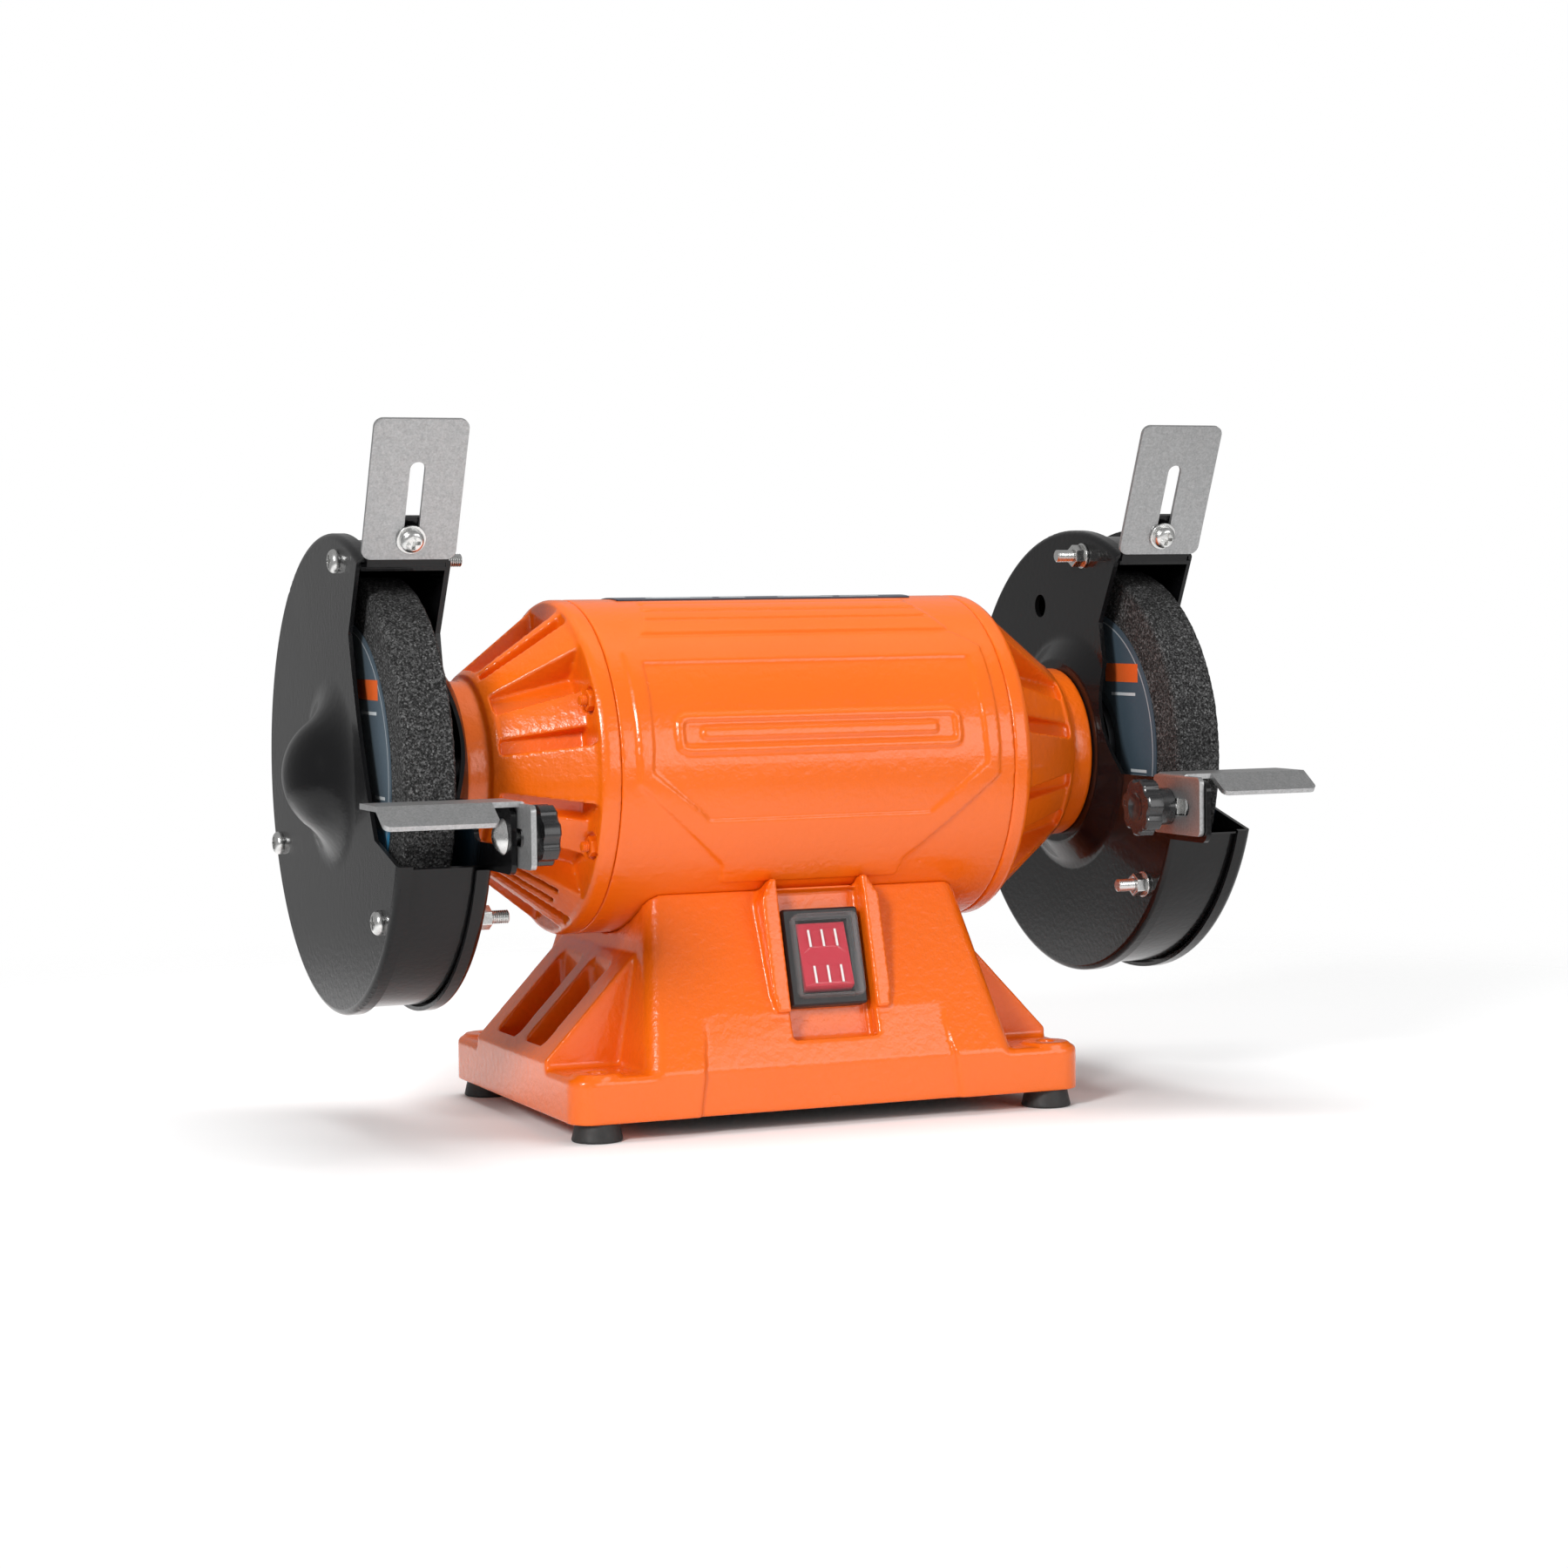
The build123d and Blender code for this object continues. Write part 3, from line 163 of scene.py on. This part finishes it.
# ---- materials --------------------------------------------------------------------------
def casting_paint():
    """Glossy orange enamel over a cast surface: orange peel in two sizes and slow colour drift."""
    s = Shader("casting_paint")
    s.set(spec=0.4, coat=0.35, coat_rough=0.05)
    drift = s.noise(14, 2)
    s.color(s.mix(s.span(drift, 0, 1), (0.80, 0.124, 0.003), (0.85, 0.146, 0.005)))
    s.rough(s.span(s.noise(45, 3), 0.20, 0.30))
    s.bump((s.noise(330, 2, 0.45), 0.46, 0.0006), (s.noise(1000, 2, 0.5), 0.34, 0.0003))
    return s.mat


def guard_paint():
    """Black powder coat with a leathery peel."""
    s = Shader("guard_paint")
    s.set(spec=0.2, coat=0.22, coat_rough=0.05)
    s.color(s.mix(s.span(s.noise(30, 3), 0, 1), (0.0030, 0.0030, 0.0034), (0.0055, 0.0055, 0.0060)))
    s.rough(s.span(s.noise(60, 3), 0.16, 0.26))
    s.bump((s.noise(450, 2, 0.5), 0.22, 0.0005), (s.noise(1500, 1, 0.5), 0.10, 0.0002))
    return s.mat


def zinc_sheet():
    """Galvanised sheet: fine spangle, rolling marks and a dull film."""
    s = Shader("zinc_sheet")
    s.set(metal=0.9, spec=0.5)
    grain = s.noise(1300, 3, 0.7)
    flakes = s.cells(700, "Color")
    value = s.mix(0.4, s.ramp(grain, [(0.32, 0.30), (0.68, 0.58)]), s.span(flakes, 0.34, 0.56))
    streaks = s.noise(60, 3, 0.6, stretch=(1, 14, 14))
    s.color(s.mix(s.span(streaks, 0.0, 0.4), value, (0.42, 0.43, 0.44)))
    s.rough(s.span(s.noise(900, 3, 0.6), 0.34, 0.52))
    s.bump((grain, 0.12, 0.0002), (s.noise(90, 2), 0.10, 0.0006))
    return s.mat


def plated_steel():
    """Bright zinc plate with fine scuffs."""
    s = Shader("zinc_fastener")
    s.set(metal=1.0)
    s.color(s.mix(s.span(s.noise(500, 3, 0.6), 0, 1), (0.60, 0.60, 0.59), (0.82, 0.82, 0.81)))
    s.rough(s.span(s.noise(900, 4, 0.6), 0.14, 0.36))
    s.bump((s.noise(1800, 3, 0.6), 0.08, 0.0001))
    return s.mat


def blackened_steel():
    s = Shader("black_oxide")
    s.set(metal=1.0)
    s.color(s.mix(s.span(s.noise(200, 4, 0.6), 0, 1), (0.05, 0.05, 0.055), (0.11, 0.11, 0.115)))
    s.rough(s.span(s.noise(500, 3), 0.3, 0.5))
    s.bump((s.noise(1200, 3), 0.1, 0.0001))
    return s.mat


def abrasive():
    """Vitrified grain: dark bond, grey grains and a few bright crystal faces, with painted shade in noise patches
    standing for shaded pits.
    """
    s = Shader("abrasive")
    s.set(spec=0.3)
    grain = s.cells(1500, "Distance")
    tone = s.cells(1500, "Color")
    speck = s.ramp(tone, [(0.0, 0.008), (0.40, 0.040), (0.75, 0.115), (0.94, 0.19), (1.0, 0.32)])
    # painted shade: a noise mask darkens patches of the colour as the shade inside pits between the grains
    pit_shade = s.ramp(s.noise(1100, 3, 0.65), [(0.40, 0.12), (0.56, 1.0)])
    s.color(s.mix(1.0, speck, pit_shade, "MULTIPLY"))
    s.rough(s.span(s.noise(800, 2), 0.66, 0.95))
    s.bump((grain, 0.8, 0.0005), (s.noise(1900, 3, 0.7), 0.7, 0.0004))
    return s.mat


def label_card():
    """Printed blotter: slate blue card with a bright band low down and a thin ring near its rim."""
    s = Shader("label_paper")
    s.set(spec=0.35, sheen=0.1)
    split = s.node("ShaderNodeSeparateXYZ")
    s.join(s.coords, split, 0)
    y, z = split.outputs[1], s.math("SUBTRACT", split.outputs[2], SHAFT_Z)
    radius = s.math("SQRT", s.math("ADD", s.math("MULTIPLY", y, y), s.math("MULTIPLY", z, z)))
    band = s.ramp(s.math("ADD", s.math("MULTIPLY", z, -12.0), 0.25), [(0.46, 0.0), (0.50, 1.0)])
    sheet = s.mix(s.span(s.noise(80, 3), 0, 1), (0.040, 0.067, 0.092), (0.052, 0.084, 0.112))
    inked = s.mix(band, sheet, (0.016, 0.235, 0.45))
    ring = s.math("COMPARE", radius, 0.0552)
    ring.node.inputs[2].default_value = 0.0003
    hub = s.math("LESS_THAN", radius, 0.0285)
    with_ring = s.mix(s.math("MULTIPLY", ring, 0.6), inked, (0.55, 0.58, 0.60))
    s.color(s.mix(s.math("MULTIPLY", hub, 0.8), with_ring, (0.020, 0.028, 0.036)))
    s.rough(s.span(s.noise(600, 3), 0.45, 0.65))
    s.bump((s.noise(1500, 4, 0.7), 0.12, 0.0001))
    return s.mat


def data_foil():
    s = Shader("data_plate")
    s.set(coat=0.3, coat_rough=0.1)
    s.color(s.mix(s.span(s.noise(60, 3), 0, 1), (0.010, 0.022, 0.045), (0.014, 0.029, 0.056)))
    s.rough(s.span(s.noise(300, 3), 0.24, 0.38))
    s.bump((s.noise(800, 2), 0.05, 0.0001))
    return s.mat


def print_ink(name, color):
    s = Shader(name)
    s.color(s.mix(s.span(s.noise(900, 3), 0, 1), tuple(c * 0.86 for c in color), color))
    s.rough(s.span(s.noise(700, 3), 0.42, 0.6))
    return s.mat


def knob_plastic():
    s = Shader("knob_plastic")
    s.set(coat=0.3, coat_rough=0.08)
    s.color(s.mix(s.span(s.noise(120, 3), 0, 1), (0.010, 0.010, 0.011), (0.018, 0.018, 0.019)))
    s.rough(s.span(s.noise(260, 3), 0.18, 0.34))
    s.bump((s.noise(600, 2), 0.06, 0.0002))
    return s.mat


def foot_rubber():
    s = Shader("foot_rubber")
    s.color(s.mix(s.span(s.noise(150, 4), 0, 1), (0.012, 0.012, 0.012), (0.026, 0.026, 0.025)))
    s.rough(s.span(s.noise(500, 3), 0.45, 0.72))
    s.bump((s.noise(1200, 3, 0.6), 0.2, 0.0002))
    return s.mat


def switch_black():
    s = Shader("switch_black")
    s.color(s.mix(s.span(s.noise(200, 3), 0, 1), (0.010, 0.010, 0.011), (0.018, 0.018, 0.019)))
    s.rough(s.span(s.noise(700, 3), 0.34, 0.5))
    s.bump((s.noise(2200, 2), 0.12, 0.0001))
    return s.mat


def switch_red():
    s = Shader("switch_red")
    s.set(coat=0.5, coat_rough=0.05)
    s.color(s.mix(s.span(s.noise(90, 2), 0, 1), (0.46, 0.004, 0.022), (0.58, 0.007, 0.036)))
    s.rough(s.span(s.noise(300, 3), 0.15, 0.28))
    s.bump((s.noise(400, 2), 0.04, 0.0002))
    return s.mat


def clear_cover():
    """Clear flexible plastic: nearly invisible face on, whiter at its edges through a painted white sheen that
    stands for reflection at grazing view.
    """
    s = Shader("clear_cover")
    s.set(spec=0.6, coat=0.4)
    weight = s.node("ShaderNodeLayerWeight")
    weight.inputs["Blend"].default_value = 0.3
    # painted reflection: the white colour turns more opaque where the surface is seen edge on
    grazing_sheen = s.math("POWER", weight.outputs["Facing"], 2.5)
    s.join(s.span(grazing_sheen, 0.02, 0.55), s.bsdf, "Alpha")
    s.color(s.mix(s.span(s.noise(60, 2), 0, 1), (0.80, 0.82, 0.84), (0.92, 0.94, 0.95)))
    s.rough(s.span(s.noise(500, 3), 0.05, 0.14))
    s.bump((s.noise(160, 2), 0.06, 0.0004))
    return s.mat


def plain_metal(name, dark, light, rough, scale=300):
    s = Shader(name)
    s.set(metal=1.0)
    s.color(s.mix(s.span(s.noise(scale, 4, 0.6), 0, 1), dark, light))
    s.rough(s.span(s.noise(scale * 2, 3), rough - 0.07, rough + 0.1))
    s.bump((s.noise(scale * 4, 3), 0.08, 0.0001))
    return s.mat


def laminated_steel():
    """Edge of a stack of thin sheets."""
    s = Shader("core_steel")
    s.set(metal=1.0)
    layers = s.noise(40, 2, 0.5, stretch=(50, 1, 1))
    s.color(s.mix(s.span(layers, 0, 1), (0.16, 0.17, 0.18), (0.38, 0.39, 0.41)))
    s.rough(s.span(s.noise(500, 3), 0.35, 0.55))
    s.bump((layers, 0.4, 0.0002))
    return s.mat


def wound_copper():
    s = Shader("copper")
    s.set(metal=1.0, coat=0.4, coat_rough=0.15)
    wires = s.noise(60, 2, 0.5, stretch=(16, 1, 1))
    s.color(s.mix(s.span(wires, 0, 1), (0.38, 0.12, 0.04), (0.78, 0.36, 0.16)))
    s.rough(s.span(s.noise(400, 3), 0.22, 0.42))
    s.bump((wires, 0.6, 0.0005))
    return s.mat


def plain_plastic(name, dark, light, rough):
    s = Shader(name)
    s.color(s.mix(s.span(s.noise(150, 3), 0, 1), dark, light))
    s.rough(s.span(s.noise(500, 3), rough - 0.07, rough + 0.1))
    s.bump((s.noise(1500, 2), 0.08, 0.0001))
    return s.mat


MATERIALS = {
    "casting_paint": casting_paint(),
    "guard_paint": guard_paint(),
    "zinc_sheet": zinc_sheet(),
    "zinc_fastener": plated_steel(),
    "black_oxide": blackened_steel(),
    "abrasive": abrasive(),
    "label_paper": label_card(),
    "data_plate": data_foil(),
    "knob_plastic": knob_plastic(),
    "foot_rubber": foot_rubber(),
    "switch_black": switch_black(),
    "switch_red": switch_red(),
    "clear_cover": clear_cover(),
    "core_steel": laminated_steel(),
    "copper": wound_copper(),
    "cage_alloy": plain_metal("cage_alloy", (0.55, 0.56, 0.57), (0.75, 0.76, 0.77), 0.4),
    "ground_steel": plain_metal("ground_steel", (0.60, 0.61, 0.63), (0.78, 0.79, 0.80), 0.18, 500),
    "plate_steel": plain_plastic("plate_steel", (0.012, 0.012, 0.013), (0.022, 0.022, 0.023), 0.4),
    "electrical_plastic": plain_plastic("electrical_plastic", (0.55, 0.52, 0.45), (0.66, 0.63, 0.55), 0.45),
    "capacitor_can": plain_plastic("capacitor_can", (0.60, 0.60, 0.58), (0.70, 0.70, 0.68), 0.35),
}
INK_ORANGE = print_ink("ink_orange", (0.80, 0.13, 0.02))
INK_PALE = print_ink("ink_pale", (0.62, 0.66, 0.68))
INK_WHITE = print_ink("ink_white", (0.86, 0.84, 0.84))


def dress_nodes():
    slots = {row["node"]: row["material_slot"] for row in frame["record"]["subparts"]}
    for name, node in frame["nodes"].items():
        node.data.materials.clear()
        node.data.materials.append(MATERIALS[slots[name]])


# ---- softened edges -----------------------------------------------------------------------
CAST = {"base": 0.0008, "end_bell_left": 0.0007, "end_bell_right": 0.0007, "motor_housing": 0.0007}
BEVELS = {
    "guard_screws": 0.00025, "guard_nuts": 0.0003, "guard_washers": 0.0002, "spark_screws": 0.00025,
    "spark_nuts": 0.0003, "spark_washers": 0.0002, "tie_nuts": 0.0003, "switch_body": 0.0003,
    "switch_rocker": 0.0004, "rest_bolt": 0.0003, "rest_knob": 0.0005, "tool_rest": 0.0004,
    "spark_plate": 0.00035, "guard_inner": 0.0005, "guard_band": 0.0004, "guard_cover": 0.0005,
    "shaft_nut": 0.0004, "wheel_flanges": 0.0004, "rubber_feet": 0.0005, "tie_bolts": 0.0003,
    "cord_gland": 0.0006, "bottom_plate_screws": 0.0002,
}


SHARP_ANGLE = math.radians(32)


def soften():
    """Voxel remesh and smoothing on the castings; smooth shading with sharp edges by angle on the rest, and small
    bevels and weighted normals on the parts listed in BEVELS.
    """
    for name, node in frame["nodes"].items():
        if name in CAST:
            remesh = node.modifiers.new("cast", "REMESH")
            remesh.mode = "VOXEL"
            remesh.voxel_size = CAST[name]
            remesh.use_smooth_shade = True
            smooth = node.modifiers.new("soften", "SMOOTH")
            smooth.factor = 0.5
            smooth.iterations = 4
            continue
        stem = name.replace("_left", "").replace("_right", "")
        if stem in BEVELS:
            weld = node.modifiers.new("weld", "WELD")
            weld.merge_threshold = 0.000005
            bevel = node.modifiers.new("edges", "BEVEL")
            bevel.width = BEVELS[stem]
            bevel.segments = 2
            bevel.limit_method = "ANGLE"
            bevel.angle_limit = SHARP_ANGLE
        for polygon in node.data.polygons:
            polygon.use_smooth = True
        node.data.set_sharp_from_angle(angle=SHARP_ANGLE)
        if stem in BEVELS:
            weighted = node.modifiers.new("flat faces", "WEIGHTED_NORMAL")
            weighted.keep_sharp = True
            weighted.weight = 80


# ---- pieces -------------------------------------------------------------------------------
def mesh_object(name, verts, faces, material, body, slot_name):
    mesh = bpy.data.meshes.new(name)
    mesh.from_pydata(verts, [], faces)
    mesh.materials.append(material)
    mesh.validate()
    made = bpy.data.objects.new(name, mesh)
    bpy.context.scene.collection.objects.link(made)
    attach(made, body)
    return made


def gritty_wheel(word, side):
    """The wheel with a rough, slightly broken surface: a lathe profile whose points sink by noise."""
    bore, grazing_sheen, deepest_pit = 0.00645, 0.0012, 0.00034
    around_count, rim_steps, face_steps = 640, 22, 34
    profile = []
    for i in range(face_steps + 1):
        profile.append((WHEEL_IN, bore + (WHEEL_R - grazing_sheen - bore) * i / face_steps))
    for i in range(rim_steps + 1):
        profile.append((WHEEL_IN + grazing_sheen + (WHEEL_OUT - WHEEL_IN - 2 * grazing_sheen) * i / rim_steps, WHEEL_R))
    for i in range(face_steps + 1):
        profile.append((WHEEL_OUT, WHEEL_R - grazing_sheen - (WHEEL_R - grazing_sheen - bore) * i / face_steps))
    verts, faces = [], []
    count = len(profile)
    for k in range(around_count):
        turn = 2 * math.pi * k / around_count
        for x, r in profile:
            p = Vector((side * x, r * math.cos(turn), SHAFT_Z + r * math.sin(turn)))
            rough = noise.noise(p * 700) * 0.5 + noise.noise(p * 1600) * 0.35 + 0.5
            sink = deepest_pit * max(0.0, rough)
            on_rim = r > WHEEL_R - 0.0005
            on_label = r < LABEL_R + 0.0015
            if on_rim:
                r2, x2 = r - sink, x
            elif on_label:
                r2, x2 = r, x
            else:
                r2, x2 = r, x + (sink if x == WHEEL_IN else -sink)
            verts.append((side * x2, r2 * math.cos(turn), SHAFT_Z + r2 * math.sin(turn)))
    for k in range(around_count):
        a, b = k * count, (k + 1) % around_count * count
        for i in range(count):
            j = (i + 1) % count
            quad = (a + i, a + j, b + j, b + i)
            faces.append(quad if side == 1 else quad[::-1])
    wheel = mesh_object(f"wheel_grit_{word}", verts, faces, MATERIALS["abrasive"], "rotor", "abrasive")
    for polygon in wheel.data.polygons:
        polygon.use_smooth = True
    bm = bmesh.new()
    bm.from_mesh(wheel.data)
    bmesh.ops.recalc_face_normals(bm, faces=bm.faces)
    bm.to_mesh(wheel.data)
    bm.free()
    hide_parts(f"grinding_wheel_{word}")


def add_box(verts, faces, corners):
    """Adds a closed box from its 8 corners: four of the bottom in a row, then four of the top."""
    start = len(verts)
    verts.extend(tuple(corner) for corner in corners)
    faces.extend([tuple(start + i for i in quad) for quad in
                  ((3, 2, 1, 0), (4, 5, 6, 7), (0, 1, 5, 4), (1, 2, 6, 5), (2, 3, 7, 6), (3, 0, 4, 7))])


def printed_bar(verts, faces, x, y0, y1, z0, z1, thick):
    """One flat ink bar on a plane of constant x, as a thin closed box."""
    corners = ((y0, z0), (y1, z0), (y1, z1), (y0, z1))
    add_box(verts, faces, [(xx, y, z) for xx in (x, x + thick) for y, z in corners])


def label_print(word, side):
    """Plain printed bars on each face of the label, in place of lettering."""
    for face, x, outward in (("inner", WHEEL_IN - LABEL_T, -1), ("outer", WHEEL_OUT + LABEL_T, 1)):
        thick = 0.00004 * outward * side
        x = x * side
        bold, fine = ([], []), ([], [])
        printed_bar(*bold, x, -0.043, -0.016, SHAFT_Z + 0.029, SHAFT_Z + 0.0365, thick)
        printed_bar(*fine, x, -0.041, -0.021, SHAFT_Z + 0.0235, SHAFT_Z + 0.0247, thick)
        for row, reach in ((-0.0075, 0.013), (-0.0105, 0.010)):
            printed_bar(*fine, x, -0.050, -0.050 + reach, SHAFT_Z + row, SHAFT_Z + row + 0.0012, thick)
        mesh_object(f"print_bold_{word}_{face}", *bold, INK_ORANGE, "rotor", "label_paper")
        mesh_object(f"print_fine_{word}_{face}", *fine, INK_PALE, "rotor", "label_paper")


def plate_print():
    """Pale printed bars along the front and back of the data plate, in place of lettering."""
    verts, faces = [], []
    for deg, spans in ((83.4, ((-50, -22), (-19, -8), (6, 30), (33, 50))), (86.4, ((-46, -30), (10, 26)))):
        for turn in (deg, 180 - deg):
            place = math.radians(turn)
            out = Vector((0, -math.cos(place), math.sin(place)))
            along = Vector((0, math.sin(place), math.cos(place)))
            for x0, x1 in spans:
                outline = ((x0, -0.0007), (x1, -0.0007), (x1, 0.0007), (x0, 0.0007))
                add_box(verts, faces, [Vector((x / 1000, 0, SHAFT_Z)) + out * r + along * v
                                       for r in (0.0659, 0.06594) for x, v in outline])
    mesh_object("plate_print", verts, faces, INK_PALE, "frame", "data_plate")


def switch_marks():
    """White on and off marks printed on the two slopes of the rocker."""
    lean = math.radians(15.8)
    origin = Vector((0.0022, -0.0536, 0.062))
    up = Vector((0, math.sin(lean), math.cos(lean)))
    out = Vector((0, -math.cos(lean), math.sin(lean)))
    right = Vector((1, 0, 0))
    verts, faces = [], []

    def bar(x, y, half_x, half_y, height, slope):
        outline = ((-half_x, -half_y), (half_x, -half_y), (half_x, half_y), (-half_x, half_y))
        add_box(verts, faces, [origin + right * (x + u) + up * (y + v) + out * (height + slope * (y + v) + lift)
                               for lift in (0.0, 0.00006) for u, v in outline])

    upper, lower = (0.00662, -0.147), (0.00652, -0.118)
    for x in (-0.0056, 0.0, 0.0056):
        bar(x, 0.0072, 0.00045, 0.0034, upper[0] + 0.00032, upper[1])
        bar(x, -0.0072, 0.00045, 0.0034, lower[0] + 0.00032, lower[1])
    mesh_object("switch_print", verts, faces, INK_WHITE, "switch_rocker", "switch_red")


# ---- camera, floor and light ------------------------------------------------------------------
def make_camera():
    place = (-0.515432, -1.238437, 0.202438)
    yaw, pitch, roll = -0.402, -0.056, -0.012
    forward = Vector((-math.sin(yaw) * math.cos(pitch), math.cos(yaw) * math.cos(pitch), math.sin(pitch)))
    right = Vector((math.cos(yaw), math.sin(yaw), 0))
    up = right.cross(forward)
    right_r = right * math.cos(roll) + up * math.sin(roll)
    up_r = up * math.cos(roll) - right * math.sin(roll)
    data = bpy.data.cameras.new("camera")
    data.sensor_width = 36
    data.lens = 76.99
    data.clip_end = 50
    camera = bpy.data.objects.new("camera", data)
    rows = [[right_r[i], up_r[i], -forward[i], place[i]] for i in range(3)]
    camera.matrix_world = Matrix(rows + [[0, 0, 0, 1]])
    bpy.context.scene.collection.objects.link(camera)
    bpy.context.scene.camera = camera


def make_stage():
    """Pale round floor that fades out towards its edge."""
    s = Shader("floor")
    s.set(rough=0.9, spec=0.1)
    s.color(s.mix(s.span(s.noise(3, 2), 0, 1), (0.93, 0.93, 0.93), (0.95, 0.95, 0.95)))
    distance = s.node("ShaderNodeVectorMath", operation="LENGTH")
    s.join(s.coords, distance, 0)
    fade = s.ramp(distance.outputs[1], [(0.30, 1.0), (0.75, 0.0)], smooth=True)
    s.join(fade, s.bsdf, "Alpha")
    bpy.ops.mesh.primitive_plane_add(size=3, location=(0, 0, 0))
    floor = bpy.context.object
    floor.name = "floor"
    floor.data.materials.append(s.mat)


def area_light(name, place, target, size, power):
    data = bpy.data.lights.new(name, "AREA")
    data.shape = "RECTANGLE"
    data.size, data.size_y = size
    data.energy = power
    light = bpy.data.objects.new(name, data)
    light.location = place
    light.rotation_euler = (Vector(target) - Vector(place)).to_track_quat("-Z", "Y").to_euler()
    bpy.context.scene.collection.objects.link(light)
    return light


def make_lights():
    """White backdrop for the camera, a dimmer sky for everything else, and three lights."""
    world = bpy.data.worlds.new("studio")
    world.use_nodes = True
    tree = world.node_tree
    seen = tree.nodes["Background"]
    soft = tree.nodes.new("ShaderNodeBackground")
    for background, strength in ((seen, 1.0), (soft, 0.36)):
        background.inputs[0].default_value = (1.0, 1.0, 1.0, 1.0)
        background.inputs[1].default_value = strength
    path = tree.nodes.new("ShaderNodeLightPath")
    both = tree.nodes.new("ShaderNodeMixShader")
    tree.links.new(path.outputs["Is Camera Ray"], both.inputs[0])
    tree.links.new(soft.outputs[0], both.inputs[1])
    tree.links.new(seen.outputs[0], both.inputs[2])
    tree.links.new(both.outputs[0], tree.nodes["World Output"].inputs[0])
    bpy.context.scene.world = world
    centre = (0, 0, 0.12)
    area_light("key", (-1.15, -0.95, 0.85), centre, (0.3, 0.45), 18)
    area_light("fill", (0.85, -1.6, 0.55), centre, (1.1, 0.8), 7.5)
    top = area_light("top", (0.1, 0.15, 1.2), centre, (1.3, 0.5), 12)
    top.visible_glossy = False


dress_nodes()
soften()
for word, side in SIDES:
    gritty_wheel(word, side)
    label_print(word, side)
switch_marks()
plate_print()
make_camera()
make_stage()
make_lights()
bpy.context.scene.view_settings.view_transform = "Standard"
